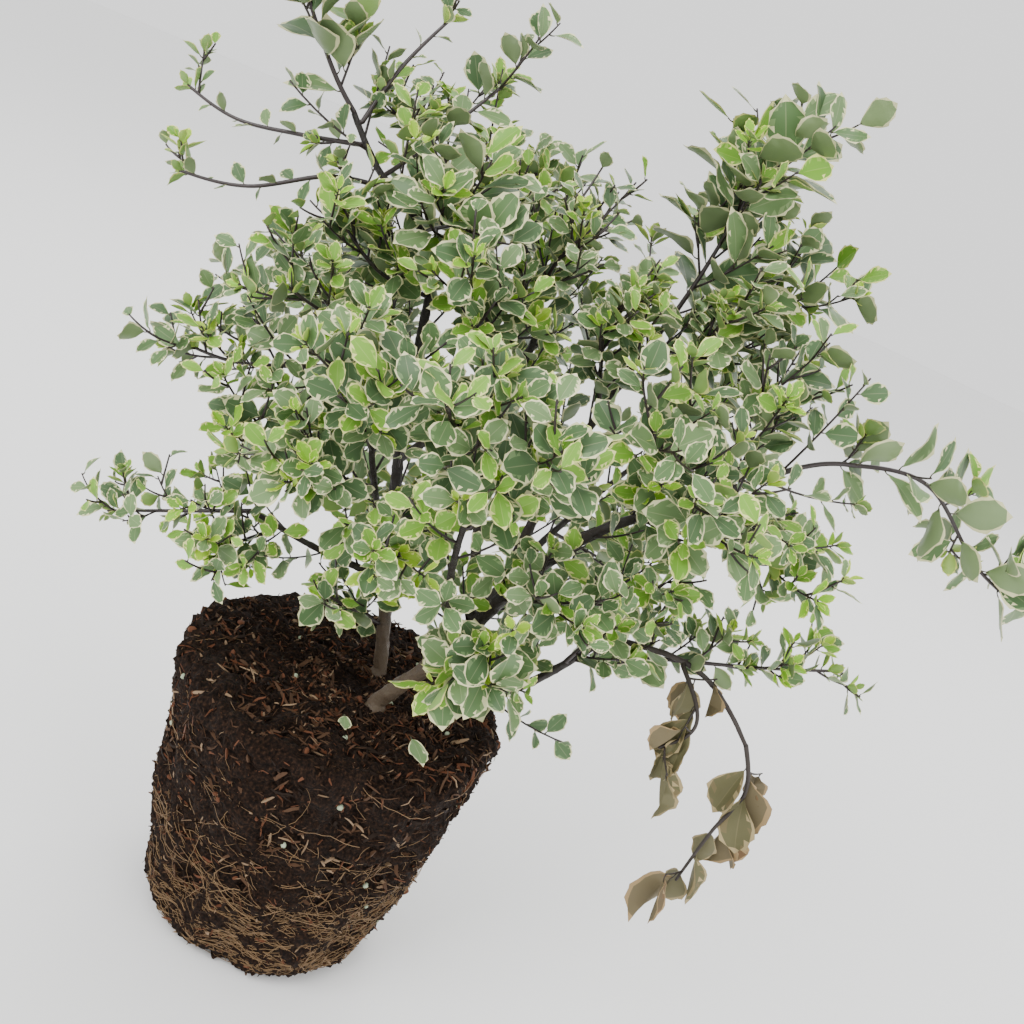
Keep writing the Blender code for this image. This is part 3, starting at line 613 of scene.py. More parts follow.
def addGrain(tree, shader, broad, fine, least, most, bump, distance=0.0004):
    grain = tree.nodes.new("ShaderNodeGroup")
    grain.node_tree = surfaceGrain
    for label, value in (("Broad Scale", broad), ("Fine Scale", fine), ("Least", least), ("Most", most)):
        grain.inputs[label].default_value = value
    relief = tree.nodes.new("ShaderNodeBump")
    relief.inputs["Strength"].default_value = bump
    relief.inputs["Distance"].default_value = distance
    tree.links.new(grain.outputs["Roughness"], shader.inputs["Roughness"])
    tree.links.new(grain.outputs["Height"], relief.inputs["Height"])
    tree.links.new(relief.outputs["Normal"], shader.inputs["Normal"])
    return grain


def plainMaterial(name, colour, least, most, bump, specular=0.5):
    # one plain colour, with a grain in its gloss and relief
    material, tree, shader = newMaterial(name, least)
    shader.inputs["Base Color"].default_value = (*colour, 1)
    setGloss(shader, specular)
    addGrain(tree, shader, 90.0, 700.0, least, most, bump)
    return material


def leafMaterials():
    # six for each tint, in the order of the zones in leafTemplate
    least, most = leafFinish["roughness"]
    made = []
    for name, row in leafPalette.items():
        inside, streak, rim = np.array(row)
        dead = name.startswith("dead")
        dry = leafFinish["dry"] if dead else 0.0
        grey = np.array(leafFinish["deadGrey" if dead else "underGrey"])
        rib = inside + (rim - inside) * leafFinish["ribPaler"]
        under = inside + (grey - inside) * leafFinish["underPaler"]
        colours = (inside, streak, rim, rib, under, rim * leafFinish["underRim"])
        finish = (least + dry, most + dry, leafFinish["bump"], leafFinish["gloss"])
        for part, colour in zip(("Inside", "Streak", "Rim", "Rib", "Under", "UnderRim"), colours):
            made.append(plainMaterial(name + part, colour, *finish))
    return made


def rampMaterial(name, stops, scales, rough, bump, distance, specular=0.5, attribute=None):
    # colour from a ramp over noise on Object coordinates, or over the piece's own attribute plus half of it
    material, tree, shader = newMaterial(name, rough[0])
    setGloss(shader, specular)
    grain = addGrain(tree, shader, scales[0], scales[1], *rough, bump, distance)
    ramp = tree.nodes.new("ShaderNodeValToRGB")
    while len(ramp.color_ramp.elements) < len(stops):
        ramp.color_ramp.elements.new(0.5)
    for element, (position, colour) in zip(ramp.color_ramp.elements, stops):
        element.position = position
        element.color = (*colour, 1)
    mix = tree.nodes.new("ShaderNodeMath")
    mix.operation = "MULTIPLY_ADD"
    tree.links.new(grain.outputs["Height" if attribute is None else "Patches"], mix.inputs[0])
    mix.inputs[1].default_value = 1.0 if attribute is None else 0.5
    mix.inputs[2].default_value = 0.0
    if attribute:
        own = tree.nodes.new("ShaderNodeAttribute")
        own.attribute_name = attribute
        tree.links.new(own.outputs["Fac"], mix.inputs[2])
    tree.links.new(mix.outputs["Value"], ramp.inputs["Fac"])
    tree.links.new(ramp.outputs["Color"], shader.inputs["Base Color"])
    return material


barkStops = (
    (0.25, (0.012, 0.008, 0.007)),  # young, near black
    (0.55, (0.024, 0.016, 0.011)),
    (0.85, (0.050, 0.034, 0.021)),
    (1.0, (0.086, 0.060, 0.036)),  # old, at the soil
)
peatStops = (
    (0.34, (0.0030, 0.0016, 0.0010)),
    (0.50, (0.010, 0.0050, 0.0030)),
    (0.62, (0.022, 0.011, 0.0062)),
    (0.76, (0.050, 0.026, 0.014)),
)
leafMats = leafMaterials()
barkMat = rampMaterial("bark", barkStops, (260.0, 1100.0), (0.42, 0.75), 0.9, 0.0007, attribute="age")
twigMat = plainMaterial("youngWood", (0.022, 0.013, 0.013), 0.32, 0.5, 0.15)
petioleMat = plainMaterial("petiole", (0.055, 0.050, 0.020), 0.35, 0.5, 0.1)
deadWoodMat = plainMaterial("deadWood", (0.026, 0.018, 0.014), 0.55, 0.75, 0.3)
peatMat = rampMaterial("peat", peatStops, (45.0, 700.0), (0.75, 0.95), 1.0, 0.0012, specular=0.12)
fibreMats = [
    plainMaterial("darkFibre", (0.013, 0.007, 0.004), 0.6, 0.85, 0.3, 0.15),
    plainMaterial("brownFibre", (0.060, 0.030, 0.015), 0.6, 0.85, 0.3, 0.2),
    plainMaterial("redFibre", (0.100, 0.037, 0.017), 0.6, 0.85, 0.3, 0.2),
    plainMaterial("strawFibre", (0.21, 0.135, 0.075), 0.6, 0.85, 0.3),
]
rootMat = plainMaterial("fineRoot", (0.215, 0.128, 0.056), 0.5, 0.7, 0.15)
pelletMat = plainMaterial("pellet", (0.30, 0.36, 0.24), 0.5, 0.7, 0.2)
print("materials made:", len(bpy.data.materials))


def meshPiece(name, points, triangles, materials, indices=None, sharp=None):
    mesh = bpy.data.meshes.new(name)
    mesh.vertices.add(len(points))
    mesh.vertices.foreach_set("co", np.ascontiguousarray(points, np.float32).ravel())
    mesh.loops.add(triangles.size)
    mesh.loops.foreach_set("vertex_index", np.ascontiguousarray(triangles, np.int32).ravel())
    mesh.polygons.add(len(triangles))
    mesh.polygons.foreach_set("loop_start", np.arange(0, triangles.size, 3, dtype=np.int32))
    for material in materials:
        mesh.materials.append(material)
    if indices is not None:
        mesh.polygons.foreach_set("material_index", np.ascontiguousarray(indices, np.int32))
    mesh.update(calc_edges=True)
    mesh.shade_smooth()
    if sharp:
        mesh.set_sharp_from_angle(angle=math.radians(sharp))
    piece = bpy.data.objects.new(name, mesh)
    bpy.context.scene.collection.objects.link(piece)
    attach(piece, "root")
    return piece


leafForm = {
    "rows": 8,
    "rimFrom": 0.86,  # shares of the half width
    "streaksFrom": 0.52,
    "ribTo": 0.035,
    "bladeStart": 0.10,
    "thickness": 0.018,
    "outline": (1.04, 0.98),  # powers of the place along and of the sine
    "archFirst": 0.3,  # the blade rises by this share of its droop before it falls
    "rimWaves": (0.045, 9),  # height, and how fast they follow each other
    "tiltWaves": (0.02, 5),
    "tooth": 0.015,
    "toothDip": 0.6,
    "toothFrom": 0.34,
    "toothLean": 0.025,
    "feather": 0.085,
    "streakOdds": 0.352,  # a face of the streaks' zone is plain green otherwise
    "paleOdds": 0.096,  # or has the rim's colour
}
zoneCount = 6


def leafTemplate():
    # grid over share u across, -1 to 1, and share v along, 0 to 1: an upper skin, a coarser lower skin that
    # shares its rim, and one point at each end. Side is 1 above, 0 on the rim and -1 below, and the zones
    # are 0 inside, 1 streaks, 2 rim, 3 midrib, 4 underside and 5 the underside's rim
    rows = leafForm["rows"]
    half = np.array((leafForm["ribTo"], leafForm["streaksFrom"], leafForm["rimFrom"], 1))
    columns = np.concatenate([-half[::-1], half])
    lower = np.array((-leafForm["rimFrom"], 0.0, leafForm["rimFrom"]))
    along = np.linspace(0, 1, rows + 2)[1:-1]
    u = np.concatenate([[0, 0], np.tile(columns, rows), np.tile(lower, rows)])
    v = np.concatenate([[0, 1], np.repeat(along, len(columns)), np.repeat(along, len(lower))])
    above = np.tile((abs(columns) < 1).astype(int), rows)
    side = np.concatenate([[0, 0], above, -np.ones(len(lower) * rows, int)])
    top = 2 + np.arange(rows * len(columns)).reshape(rows, -1)
    low = 2 + top.size + np.arange(rows * len(lower)).reshape(rows, -1)
    low = np.concatenate([top[:, :1], low, top[:, -1:]], axis=1)
    faces, zones = [], []
    for grid, over, kinds in ((top, True, (2, 1, 0, 3, 0, 1, 2)), (low, False, (5, 4, 4, 5))):
        a, b, c, d = grid[:-1, :-1], grid[1:, :-1], grid[1:, 1:], grid[:-1, 1:]
        foot = threes(np.zeros_like(grid[0, :-1]), grid[0, :-1], grid[0, 1:])
        tip = threes(grid[-1, :-1], np.ones_like(grid[-1, :-1]), grid[-1, 1:])
        quads = np.stack([threes(a, b, c), threes(a, c, d)], axis=2)
        part = np.concatenate([quads.reshape(-1, 3), foot, tip])
        faces.append(part if over else part[:, ::-1])
        body = np.repeat(np.tile(kinds, rows - 1), 2)
        zones.append(np.concatenate([body, kinds, np.full(len(kinds), 2 if over else 5)]))
    return u, v, side, np.concatenate(faces), np.concatenate(zones)


template = leafTemplate()


def bladeMesh(leaves, seed):
    # x = L v, y = W/2 u w(v) and z = fold |u| w W/2 - droop L (v2 - arch v) + waves, where w is a power of
    # the sine of pi times a power of v. Teeth move every other rim point out, and the rim's inner edge
    # wanders
    rng = np.random.default_rng(seed)
    u, v, side, faces, zones = template
    root, along, across, facing = (np.array([leaf[k] for leaf in leaves])[:, None] for k in range(4))
    drawn = np.array([leaf[4:10] for leaf in leaves])
    length, width, fold, droop, wave, phase = (drawn[:, k : k + 1] for k in range(6))
    tint = np.array([leaf[10] for leaf in leaves])
    lean, fill = leafForm["outline"]
    profile = np.sin(np.pi * v**lean).clip(0) ** fill
    rimEdge = abs(u) == leafForm["rimFrom"]
    wander = rng.uniform(-1, 1, (len(leaves), len(u))) * leafForm["feather"] * rimEdge
    share = u * (1 + wander)
    row = np.round(v * (leafForm["rows"] + 1)).astype(int)
    toothed = (abs(u) == 1) & (v > leafForm["toothFrom"])
    tooth = np.where(toothed, np.where(row % 2 == 1, 1.0, -leafForm["toothDip"]), 0.0)
    start = leafForm["bladeStart"]
    x = length * (start + (1 - start) * (v + leafForm["toothLean"] * tooth))
    y = length * (width / 2 * share * profile + np.sign(u) * tooth * leafForm["tooth"])
    arch = leafForm["archFirst"] * droop * v
    z = length * (width / 2 * fold * abs(share) * profile - droop * v**2 + arch)
    (rimHeight, rimPace), (tiltHeight, tiltPace) = leafForm["rimWaves"], leafForm["tiltWaves"]
    z = z + length * rimHeight * wave * np.sin(rimPace * v + phase) * share**2
    z = z + length * tiltHeight * wave * np.cos(tiltPace * v - phase) * share
    z = z - length * leafForm["thickness"] * (side == -1) * profile
    points = root + x[..., None] * along + y[..., None] * across + z[..., None] * facing
    offsets = np.arange(len(leaves))[:, None, None] * len(u)
    each = (len(leaves), len(zones))
    zone = np.where((zones == 1) & (rng.uniform(size=each) > leafForm["streakOdds"]), 0, zones)
    zone = np.where((zones == 1) & (rng.uniform(size=each) < leafForm["paleOdds"]), 2, zone)
    indices = (tint[:, None] * zoneCount + zone).ravel()
    return points.reshape(-1, 3), (faces + offsets).reshape(-1, 3), indices


def tubes(paths, radii, sides):
    # rings of radius r round each path's points, p + r (cos a across + sin a upright), closed at the ends
    paths, radii = np.asarray(paths, float), np.asarray(radii, float)
    count, steps = paths.shape[:2]
    heading = unit(np.gradient(paths, axis=1))
    main = unit(paths[:, -1:] - paths[:, :1] + 1e-9)
    helper = np.where(abs(main[..., 2:]) > 0.8, np.array((1.0, 0.0, 0.0)), up)
    across = unit(np.cross(heading, helper))
    upright = np.cross(across, heading)
    turn = np.arange(sides) * 2 * np.pi / sides
    ring = np.cos(turn)[:, None] * across[:, :, None] + np.sin(turn)[:, None] * upright[:, :, None]
    points = paths[:, :, None] + radii[:, :, None, None] * ring
    index = np.arange(count * steps * sides).reshape(count, steps, sides)
    after = np.roll(index, -1, axis=2)
    a, b, c, d = index[:, :-1], after[:, :-1], after[:, 1:], index[:, 1:]
    walls = np.stack([threes(a, d, c), threes(a, c, b)], axis=3)
    first, last = index[:, 0], index[:, -1]
    foot = threes(np.repeat(first[:, :1], sides - 2, axis=1), first[:, 1:-1], first[:, 2:])
    tip = threes(np.repeat(last[:, :1], sides - 2, axis=1), last[:, 2:], last[:, 1:-1])
    return points.reshape(-1, 3), np.concatenate([x.reshape(-1, 3) for x in (walls, foot, tip)])


def joined(parts):
    # several (points, triangles) as one, with each part's number for its faces
    starts = np.cumsum([0] + [len(points) for points, _ in parts[:-1]])
    points = np.concatenate([points for points, _ in parts])
    faces = np.concatenate([faces + start for (_, faces), start in zip(parts, starts)])
    owners = np.concatenate([np.full(len(faces), k) for k, (_, faces) in enumerate(parts)])
    return points, faces, owners


def closedRings(turns, rings):
    # the triangles of rings of points, with one more point that closes each end
    index = np.arange(turns * rings).reshape(rings, turns)
    after = np.roll(index, -1, axis=1)
    a, b, c, d = index[:-1], after[:-1], after[1:], index[1:]
    walls = np.stack([threes(a, d, c), threes(a, c, b)], axis=2).reshape(-1, 3)
    lid = threes(np.full(turns, turns * rings), index[0], after[0])
    foot = threes(np.full(turns, turns * rings + 1), after[-1], index[-1])
    return np.concatenate([walls, lid, foot])


def outwardFaces(points, faces):
    # turned round as a whole where the closed volume, the sum of a . (b x c), comes out negative
    a, b, c = (points[faces[:, k]] for k in range(3))
    volume = (a * np.cross(b, c)).sum()
    return faces[:, ::-1] if volume < 0 else faces


def fallenLeaves():
    # two leaves that lie on the soil in front of the stems: root, way and length
    rng = np.random.default_rng(3)
    lying = (((0.041, -0.032), (0.6, -0.8), 0.019), ((0.008, -0.038), (0.3, -0.9), 0.012))
    paleTint, height = tints["mature"][-1], soilHeight + 0.004
    facing = np.array((0.1, -0.2, 1.0))
    made = []
    for place, way, length in lying:
        root, along = np.array((*place, height)), unit(np.array((*way, -0.05)))
        made.append(drawLeaf("mature", paleTint, root, along, facing, length, rng))
    return made


innerLeaves = [leaf for _, own in inner.values() for leaf in own] + fallenLeaves()


def makeFoliage():
    # each spray goes with the first piece that has the start of its name, and the limbs' leaves come last
    groups = {
        "leavesTop": ("leader", "upper_left", "upper_right", "second_leader", "centre_top"),
        "leavesLeft": ("far_left", "left_", "base_left"),
        "leavesFront": ("front_", "centre_upper", "centre_right"),
        "leavesLow": ("low_front", "low_centre", "low_right"),
        "leavesRight": ("right_", "arch_right"),
        "leavesBack": ("back_",),
        "leavesDead": ("dead_",),
        "leavesInner": (),
    }
    todo = list(masses)
    for seed, (piece, starts) in enumerate(groups.items()):
        names = [name for name in todo if name.startswith(starts)]
        todo = [name for name in todo if name not in names]
        leaves = [leaf for name in names for leaf in sprays[name][2]] if names else innerLeaves
        points, faces, indices = bladeMesh(leaves, seed)
        made = meshPiece(piece, points, faces, leafMats, indices, sharp=70)
        if names:
            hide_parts(*names)
        print(piece, len(names), "sprays", len(leaves), "leaves", len(faces), "triangles")


stalkForm = {
    "length": 0.16,  # shares of the leaf's length
    "bend": 0.012,
    "drop": 0.008,
    "radius": 0.00034,
    "taper": (1.3, 1.0, 0.6),
    "sides": 3,
}


def stalksOf(leaves):
    # each runs from the twig into the blade, sagging by bend sin(pi t) + drop t
    root, along, facing = (np.array([leaf[k] for leaf in leaves])[:, None] for k in (0, 1, 3))
    length = np.array([leaf[4] for leaf in leaves])[:, None, None]
    t = np.linspace(0, 1, len(stalkForm["taper"]))[None, :, None]
    reach = stalkForm["length"] * t * along
    sag = np.sin(np.pi * t)
    paths = root + length * (reach - stalkForm["bend"] * sag * facing - stalkForm["drop"] * t * facing)
    radii = np.tile(stalkForm["radius"] * np.array(stalkForm["taper"]), (len(leaves), 1))
    return tubes(paths, radii, stalkForm["sides"])


def makeTwigs(dead):
    names = [name for name in masses if (name in deadSprays) == dead]
    parts = []
    for name in names:
        limb, place = masses[name][:2]
        stem = np.concatenate([[placeOn(limbs[limb][0], place)[0]], sprays[name][0]])
        radii = tapered(stem, growth["sprayFoot"], growth["sprayTip"])
        parts.append(tubes([stem], [radii], growth["stemSides"]))
    shoots = [shoot for name in names for shoot in sprays[name][1]]
    leaves = [leaf for name in names for leaf in sprays[name][2]]
    if not dead:
        shoots += [shoot for own, _ in inner.values() for shoot in own]
        leaves += innerLeaves
    radii = np.linspace(growth["shootFoot"], growth["shootTip"], growth["shootPoints"])
    parts.append(tubes(shoots, np.tile(radii, (len(shoots), 1)), growth["shootSides"]))
    parts.append(stalksOf(leaves))
    points, faces, owners = joined(parts)
    isStalk = (owners == len(parts) - 1).astype(int)
    materials = [deadWoodMat, deadWoodMat] if dead else [twigMat, petioleMat]
    piece = "twigsDead" if dead else "twigs"
    made = meshPiece(piece, points, outwardFaces(points, faces), materials, isStalk)
    print(piece, len(faces), "triangles")


barkForm = {
    "step": 0.0014,
    "sides": 16,
    "reliefs": (  # share of the radius, and two waves: how many round, and radians a metre along
        (0.09, (7, 160), (2, 430)),
        (0.11, (2, 210), (1, 95)),
    ),
    "scars": 0.10,
    "scarEvery": 0.013,
    "scarWidth": 0.06,  # of the space between scars
    "sunk": 0.003,
    "soilFlare": 1.15,
    "stemAge": 1.05,  # at the soil: 1 is old bark and 0 is young
    "oldBelow": 0.10,  # above the soil
    "boughAge": 0.30,
    "leastAge": 0.05,
    "boughFade": 3,  # a metre
}


def limbMesh(name):
    # rings along the limb, at angle a and length s: radius r (1 + scars exp(-(distance / width)2)) times 1
    # and the sum of the reliefs, each of them share sin(round a + along s) sin(round a + along s)
    path, radii = limbs[name]
    parent = stems.get(name) or boughs[name]
    if name in stems:
        path = np.concatenate([[path[0] - up * barkForm["sunk"]], path])
        radii = np.r_[radii[0] * barkForm["soilFlare"], radii]
    else:
        path = np.concatenate([[placeOn(limbs[parent[0]][0], parent[1])[0]], path])
        radii = np.r_[radii[0], radii]
    run = lengthAlong(path)
    steps = max(8, int(run[-1] / barkForm["step"]))
    here = np.linspace(0, run[-1], steps)
    fine = np.stack([np.interp(here, run, path[:, k]) for k in range(3)], axis=1)
    thick = np.interp(here, run, radii)
    scar = (here / barkForm["scarEvery"] + 0.3) % 1.0
    thick = thick * (1 + barkForm["scars"] * np.exp(-(((scar - 0.5) / barkForm["scarWidth"]) ** 2)))
    points, faces = tubes([fine], [thick], barkForm["sides"])
    turn = np.tile(np.arange(barkForm["sides"]) * 2 * np.pi / barkForm["sides"], steps)
    s = np.repeat(here, barkForm["sides"])
    relief = np.zeros(len(s))
    for share, (round1, along1), (round2, along2) in barkForm["reliefs"]:
        relief += share * np.sin(round1 * turn + along1 * s) * np.sin(along2 * s + round2 * turn)
    centre = np.repeat(fine, barkForm["sides"], axis=0)
    points = centre + (points - centre) * (1 + relief)[:, None]
    height = points[:, 2] - soilHeight
    if name in stems:
        age = np.clip(barkForm["stemAge"] - height / barkForm["oldBelow"], 0, 1)
    else:
        age = np.clip(barkForm["boughAge"] - barkForm["boughFade"] * s, barkForm["leastAge"], 1)
    return points, faces, age


def makeLimbs():
    live = [name for name in boughs if "dead" not in name]
    lots = (
        ("stemBark", list(stems), barkMat, "bark"),
        ("boughBark", live, barkMat, "young_wood"),
        ("deadBark", ["bough_dead"], deadWoodMat, "dead_wood"),
    )
    for piece, names, material, slot in lots:
        built = [limbMesh(name) for name in names]
        points, faces, _ = joined([part[:2] for part in built])
        made = meshPiece(piece, points, outwardFaces(points, faces), [material])
        age = made.data.attributes.new("age", "FLOAT", "POINT")
        age.data.foreach_set("value", np.concatenate([part[2] for part in built]).astype(np.float32))
        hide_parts(*names)
        print(piece, len(faces), "triangles")


makeFoliage()
makeTwigs(dead=False)
makeTwigs(dead=True)
makeLimbs()

ball = {
    "topRadius": 0.084,
    "footRadius": 0.061,
    "flatRadius": 0.050,
    "rimRound": 0.008,
    "footRound": 0.011,
    "lump": 0.0014,
    "lumpWaves": ((1.0, 5, 40, 0), (0.8, 9, -90, 1), (0.6, 14, 0, 2)),  # share, round, up, start
    "calmRadius": 0.034,  # no lumps inside this
    "turns": 380,
    "rings": 236,
    "crumbs": ((190.0, 0.0014), (420.0, 0.0013), (900.0, 0.0009)),  # waves in radians a metre, height
    "crumbEdge": 4.16,
    "crumbSunk": 0.0006,
    "grit": 0.00022,
    "flatBelow": 0.003,  # crumbs don't stand out of the underside
    "crumbsGrow": 30,  # by this times the place from the middle of the top
}


def ballProfile():
    # out and up along the block's outline: level top, quarter-round rim, straight taper and a cut foot
    rim, foot = ball["rimRound"], ball["footRound"]
    turn = np.radians(np.linspace(90, 12, 12))
    level = np.linspace(0.0004, ball["topRadius"] - rim * 1.4, 24)
    out = [level, ball["topRadius"] - rim * (1 - np.cos(turn))]
    high = [np.full(len(level), soilHeight), soilHeight - rim * (1 - np.sin(turn))]
    side = np.linspace(soilHeight - rim, foot, 30)[1:]
    out.append(ball["footRadius"] + (ball["topRadius"] - ball["footRadius"]) * side / soilHeight)
    high.append(side)
    out.append(np.array(((ball["footRadius"] + ball["flatRadius"]) / 2, ball["flatRadius"], 0.0004)))
    high.append(np.array((foot * 0.2, 0.0, 0.0)))
    out, high = np.concatenate(out), np.concatenate(high)
    run = np.r_[0, np.cumsum(np.hypot(np.diff(out), np.diff(high)))]
    return run / run[-1], out, high


profileRun, profileOut, profileHigh = ballProfile()


def ballSurface(turn, place, lift=0.0):
    # the point at turn a and share s of the outline, (out cos a, out sin a, high), with the solid's lumps
    # in it, moved along the outline's normal by lift
    out, high = np.interp(place, profileRun, profileOut), np.interp(place, profileRun, profileHigh)
    d = 0.004
    slopeOut = np.interp(place + d, profileRun, profileOut) - np.interp(place - d, profileRun, profileOut)
    slopeHigh = np.interp(place + d, profileRun, profileHigh) - np.interp(place - d, profileRun, profileHigh)
    size = np.hypot(slopeOut, slopeHigh) + 1e-9
    normalOut, normalUp = -slopeHigh / size, slopeOut / size
    waves = ball["lumpWaves"]
    lump = sum(share * np.sin(around * turn + rise * high + start) for share, around, rise, start in waves)
    lumpy = np.clip((out - ball["calmRadius"]) / 0.02, 0, 1) * (high > 0.004)
    out = out + lump * ball["lump"] * lumpy + normalOut * lift
    high = high + normalUp * lift
    return threes(out * np.cos(turn), out * np.sin(turn), high)


def crumble(points, rng):
    # sum over the waves of height (1 - edge |mean of 9 sines in random directions|), ridged as crumbs are
    total = np.zeros(points.shape[:-1])
    for waves, height in ball["crumbs"]:
        ways = unit(rng.normal(size=(9, 3))) * waves
        phases = rng.uniform(0, 2 * np.pi, 9)
        total += height * (1 - ball["crumbEdge"] * abs(np.sin(points @ ways.T + phases).mean(axis=-1)))
    return total


def makeBall():
    rng = np.random.default_rng(7)
    turns, rings = ball["turns"], ball["rings"]
    turn, place = np.meshgrid(np.arange(turns) * 2 * np.pi / turns, np.linspace(0, 1, rings))
    flat = ballSurface(turn, place)
    lift = crumble(flat, rng) - ball["crumbSunk"] + rng.normal(0, ball["grit"], flat.shape[:2])
    lift = np.where(flat[..., 2] < ball["flatBelow"], np.minimum(lift, 0.0), lift)
    lift = lift * np.clip(place * ball["crumbsGrow"], 0, 1)
    points = ballSurface(turn, place, lift)
    points[..., 2] = points[..., 2].clip(0)
    points = np.concatenate([points.reshape(-1, 3), [(0, 0, soilHeight), (0, 0, 0)]])
    faces = closedRings(turns, rings)
    made = meshPiece("rootBall", points, outwardFaces(points, faces), [peatMat])
    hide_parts("root_ball")
    print("rootBall", len(faces), "triangles")


fibre = {  # places are shares of the outline, from the middle of the top
    "count": 7600,
    "onTop": 0.42,
    "topPlaces": (0.04, 0.27),
    "sidePlaces": (0.25, 0.80),
    "length": (3.0, 0.0026),  # gamma spread: shape and scale
    "lengths": (0.003, 0.020),
    "thick": (3.0, 0.00015),
    "thicks": (0.00018, 0.0011),
    "rises": (-0.0002, 0.0007),
    "tilt": 0.0013,
    "liftLimits": (-0.001, 0.0045),
    "wander": 0.26,
    "taper": (0.5, 1, 1.1, 1, 0.4),
    "sides": 3,
    "colours": (0.42, 0.36, 0.16, 0.06),  # shares of fibreMats
}
rootNet = {
    "count": 760,
    "place": 0.80,
    "spread": 0.17,
    "frontTurn": -0.9,
    "turnSpread": 1.6,
    "slope": 0.55,
    "lengths": (0.012, 0.075),
    "thicks": (0.00009, 0.00022),
    "rises": (0.0004, 0.0014),
    "uneven": 0.00035,
    "wander": 0.20,
    "taper": (1.15, 0.5),
    "steps": 16,
    "sides": 3,
}
strand = {
    "outline": 0.33,  # length of the ball's outline
    "leastRadius": 0.015,
    "places": (0.03, 0.87),
    "underBelow": 0.004,
    "underLift": 0.0004,
    "offFloor": 0.0006,
}


def strandPaths(turn, place, angle, length, steps, wander, lift, rng):
    # strands over the ball: each step goes length / steps at an angle that wanders at random, and each
    # point is lifted off the surface
    bend = np.cumsum(rng.normal(0, wander, (len(turn), steps)), axis=1)
    way = angle[:, None] + bend
    radius = np.interp(place, profileRun, profileOut)[:, None].clip(strand["leastRadius"])
    step = (length / steps)[:, None]
    turns = turn[:, None] + np.cumsum(np.cos(way) * step / radius, axis=1)
    places = place[:, None] + np.cumsum(np.sin(way) * step / strand["outline"], axis=1)
    places = places.clip(*strand["places"])
    under = np.interp(places, profileRun, profileHigh) < strand["underBelow"]
    paths = ballSurface(turns, places, np.where(under, strand["underLift"], lift))
    paths[..., 2] = paths[..., 2].clip(strand["offFloor"])
    return paths


def makeFibres():
    rng = np.random.default_rng(11)
    count, steps, sides = fibre["count"], len(fibre["taper"]), fibre["sides"]
    turn = rng.uniform(0, 2 * np.pi, count)
    onTop = rng.uniform(size=count) < fibre["onTop"]
    topPlace = rng.uniform(*fibre["topPlaces"], count)
    place = np.where(onTop, topPlace, rng.uniform(*fibre["sidePlaces"], count))
    angle = rng.uniform(0, 2 * np.pi, count)
    length = rng.gamma(*fibre["length"], count).clip(*fibre["lengths"])
    rise = rng.uniform(*fibre["rises"], (count, 1))
    rise = rise + rng.normal(0, fibre["tilt"], (count, 1)) * np.linspace(-1, 1, steps)
    rise = rise.clip(*fibre["liftLimits"])
    paths = strandPaths(turn, place, angle, length, steps, fibre["wander"], rise, rng)
    thick = rng.gamma(*fibre["thick"], count).clip(*fibre["thicks"])
    thick = thick[:, None] * np.array(fibre["taper"])
    points, faces = tubes(paths, thick, sides)
    tint = rng.choice(len(fibreMats), count, p=fibre["colours"])
    walls = np.repeat(tint, (steps - 1) * sides * 2)
    made = meshPiece("peatFibres", points, faces, fibreMats, np.concatenate([walls, tint, tint]), sharp=40)
    print("peatFibres", len(faces), "triangles")


def makeRoots():
    # thickest net on the lower third, and to the front right, as they grew round the pot's wall
    rng = np.random.default_rng(13)
    count, steps = rootNet["count"], rootNet["steps"]
    turn = rng.normal(rootNet["frontTurn"], rootNet["turnSpread"], count)
    place = rootNet["place"] - abs(rng.normal(0, rootNet["spread"], count)).clip(0, 0.5)
    angle = rng.choice((0.0, np.pi), count) + rng.normal(0, rootNet["slope"], count)
    length = rng.uniform(*rootNet["lengths"], count)
    rise = rng.uniform(*rootNet["rises"], (count, 1)) + rng.normal(0, rootNet["uneven"], (count, steps))
    paths = strandPaths(turn, place, angle, length, steps, rootNet["wander"], rise, rng)
    thick = rng.uniform(*rootNet["thicks"], count)[:, None] * np.linspace(*rootNet["taper"], steps)
    points, faces = tubes(paths, thick, rootNet["sides"])
    made = meshPiece("fineRoots", points, faces, [rootMat])
    print("fineRoots", len(faces), "triangles")


def blobs(centres, sizes, rng):
    # small uneven balls, c + size (sin b cos a, sin b sin a, cos b), with a size for each axis
    turns, rings = 8, 5
    a = np.arange(turns) * 2 * np.pi / turns
    b = np.linspace(0, np.pi, rings + 2)[1:-1]
    out = np.sin(b)[:, None]
    shell = threes(out * np.cos(a), out * np.sin(a), np.cos(b)[:, None] + 0 * a)
    form = np.concatenate([shell.reshape(-1, 3), [(0, 0, 1), (0, 0, -1)]])
    points = centres[:, None] + form * sizes[:, None] * rng.uniform(0.85, 1.1, (len(centres), len(form), 1))
    points[..., 2] = points[..., 2].clip(0)
    offsets = np.arange(len(centres))[:, None, None] * len(form)
    return points.reshape(-1, 3), (closedRings(turns, rings) + offsets).reshape(-1, 3)


bits = {  # how many, where on the outline, half sizes, and how many of the three axes have their own
    "slowFeed": (24, (0.08, 0.70), (0.0011, 0.0017), 1),
    "barkChips": (34, (0.05, 0.75), (0.0006, 0.0030), 3),
}


def makeBits():
    # pellets of feed and chips of bark, over the top and the upper sides
    rng = np.random.default_rng(17)
    places = [rng.uniform(*span, count) for count, span, _, _ in bits.values()]
    sizes = [rng.uniform(*half, (count, axes)) * np.ones(3) for count, _, half, axes in bits.values()]
    materials = (pelletMat, fibreMats[2])
    for name, material, place, size in zip(bits, materials, places, sizes):
        turn = rng.uniform(0, 2 * np.pi, len(place))
        points, faces = blobs(ballSurface(turn, place, 0.0005), size, rng)
        made = meshPiece(name, points, outwardFaces(points, faces), [material])


makeBall()
makeFibres()
makeRoots()
makeBits()
print("root ball made")

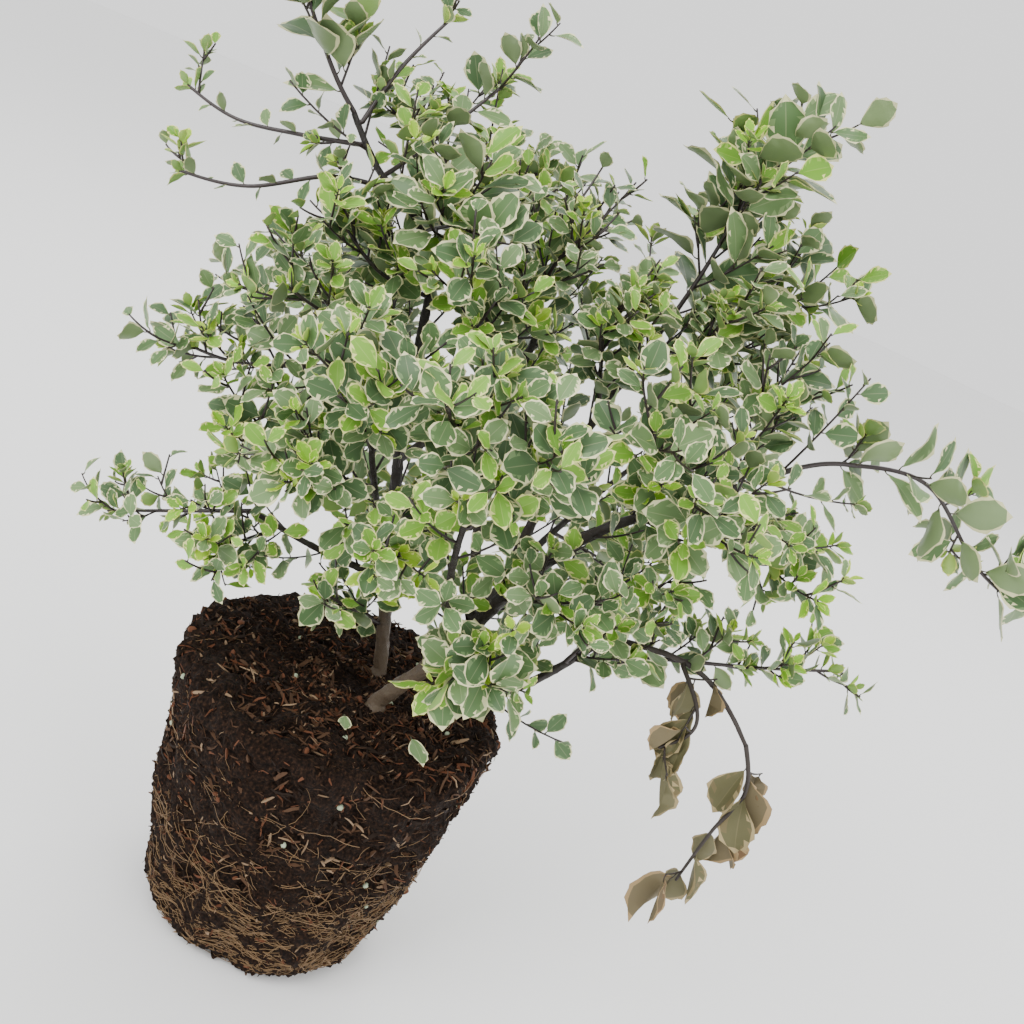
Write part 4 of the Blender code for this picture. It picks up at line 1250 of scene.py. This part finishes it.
stage = {
    "floorRadius": 6.0,
    "floorColour": (0.93, 0.93, 0.925),
    "worldColour": (1.0, 1.0, 1.0),
    "worldStrength": 1.45,
}
lamps = {  # place, size, watts: each one points at the crown
    "keyLamp": ((-1.1, -1.3, 1.7), 1.2, 40.0),
    "fillLamp": ((1.5, -1.0, 0.9), 1.4, 14.0),
    "backLamp": ((0.3, 1.4, 1.6), 1.3, 14.0),
}
view = {"lens": 39.95, "sensor": 36.0, "place": (0.0416, -0.5122, 0.4391), "downTilt": 18.9, "roll": 24.06}


def makeFloor():
    turn = np.linspace(0, 2 * np.pi, 97)[:-1]
    rim = np.stack([np.cos(turn), np.sin(turn), 0 * turn], axis=1) * stage["floorRadius"]
    mesh = bpy.data.meshes.new("floor")
    mesh.from_pydata(rim.tolist(), [], [list(range(len(rim)))])
    mesh.materials.append(plainMaterial("paleFloor", stage["floorColour"], 0.6, 0.75, 0.02))
    floor = bpy.data.objects.new("floor", mesh)
    bpy.context.scene.collection.objects.link(floor)


def makeLights():
    world = bpy.data.worlds.new("softLight")
    world.use_nodes = True
    backing = world.node_tree.nodes["Background"]
    backing.inputs["Color"].default_value = (*stage["worldColour"], 1)
    backing.inputs["Strength"].default_value = stage["worldStrength"]
    bpy.context.scene.world = world
    for name, (place, size, watts) in lamps.items():
        lamp = bpy.data.lights.new(name, "AREA")
        lamp.size = size
        lamp.energy = watts
        lampObject = bpy.data.objects.new(name, lamp)
        back = unit(np.array(place) - crownMiddle)
        side = unit(np.cross(up, back))
        turned = Matrix(np.stack([side, np.cross(back, side), back], axis=1).tolist()).to_4x4()
        lampObject.matrix_world = Matrix.Translation(place) @ turned
        bpy.context.scene.collection.objects.link(lampObject)


def makeCamera():
    # looks along +Y turned down by the tilt, then rolled about its own line of sight
    tilt, roll = math.radians(view["downTilt"]), math.radians(view["roll"])
    ahead = np.array((0, math.cos(tilt), -math.sin(tilt)))
    right, top = np.array((1.0, 0, 0)), np.array((0, math.sin(tilt), math.cos(tilt)))
    side = math.cos(roll) * right + math.sin(roll) * top
    over = math.cos(roll) * top - math.sin(roll) * right
    lens = bpy.data.cameras.new("camera")
    lens.lens = view["lens"]
    lens.sensor_width = view["sensor"]
    camera = bpy.data.objects.new("camera", lens)
    turned = Matrix(np.stack([side, over, -ahead], axis=1).tolist()).to_4x4()
    camera.matrix_world = Matrix.Translation(view["place"]) @ turned
    bpy.context.scene.collection.objects.link(camera)
    bpy.context.scene.camera = camera


makeFloor()
makeLights()
makeCamera()
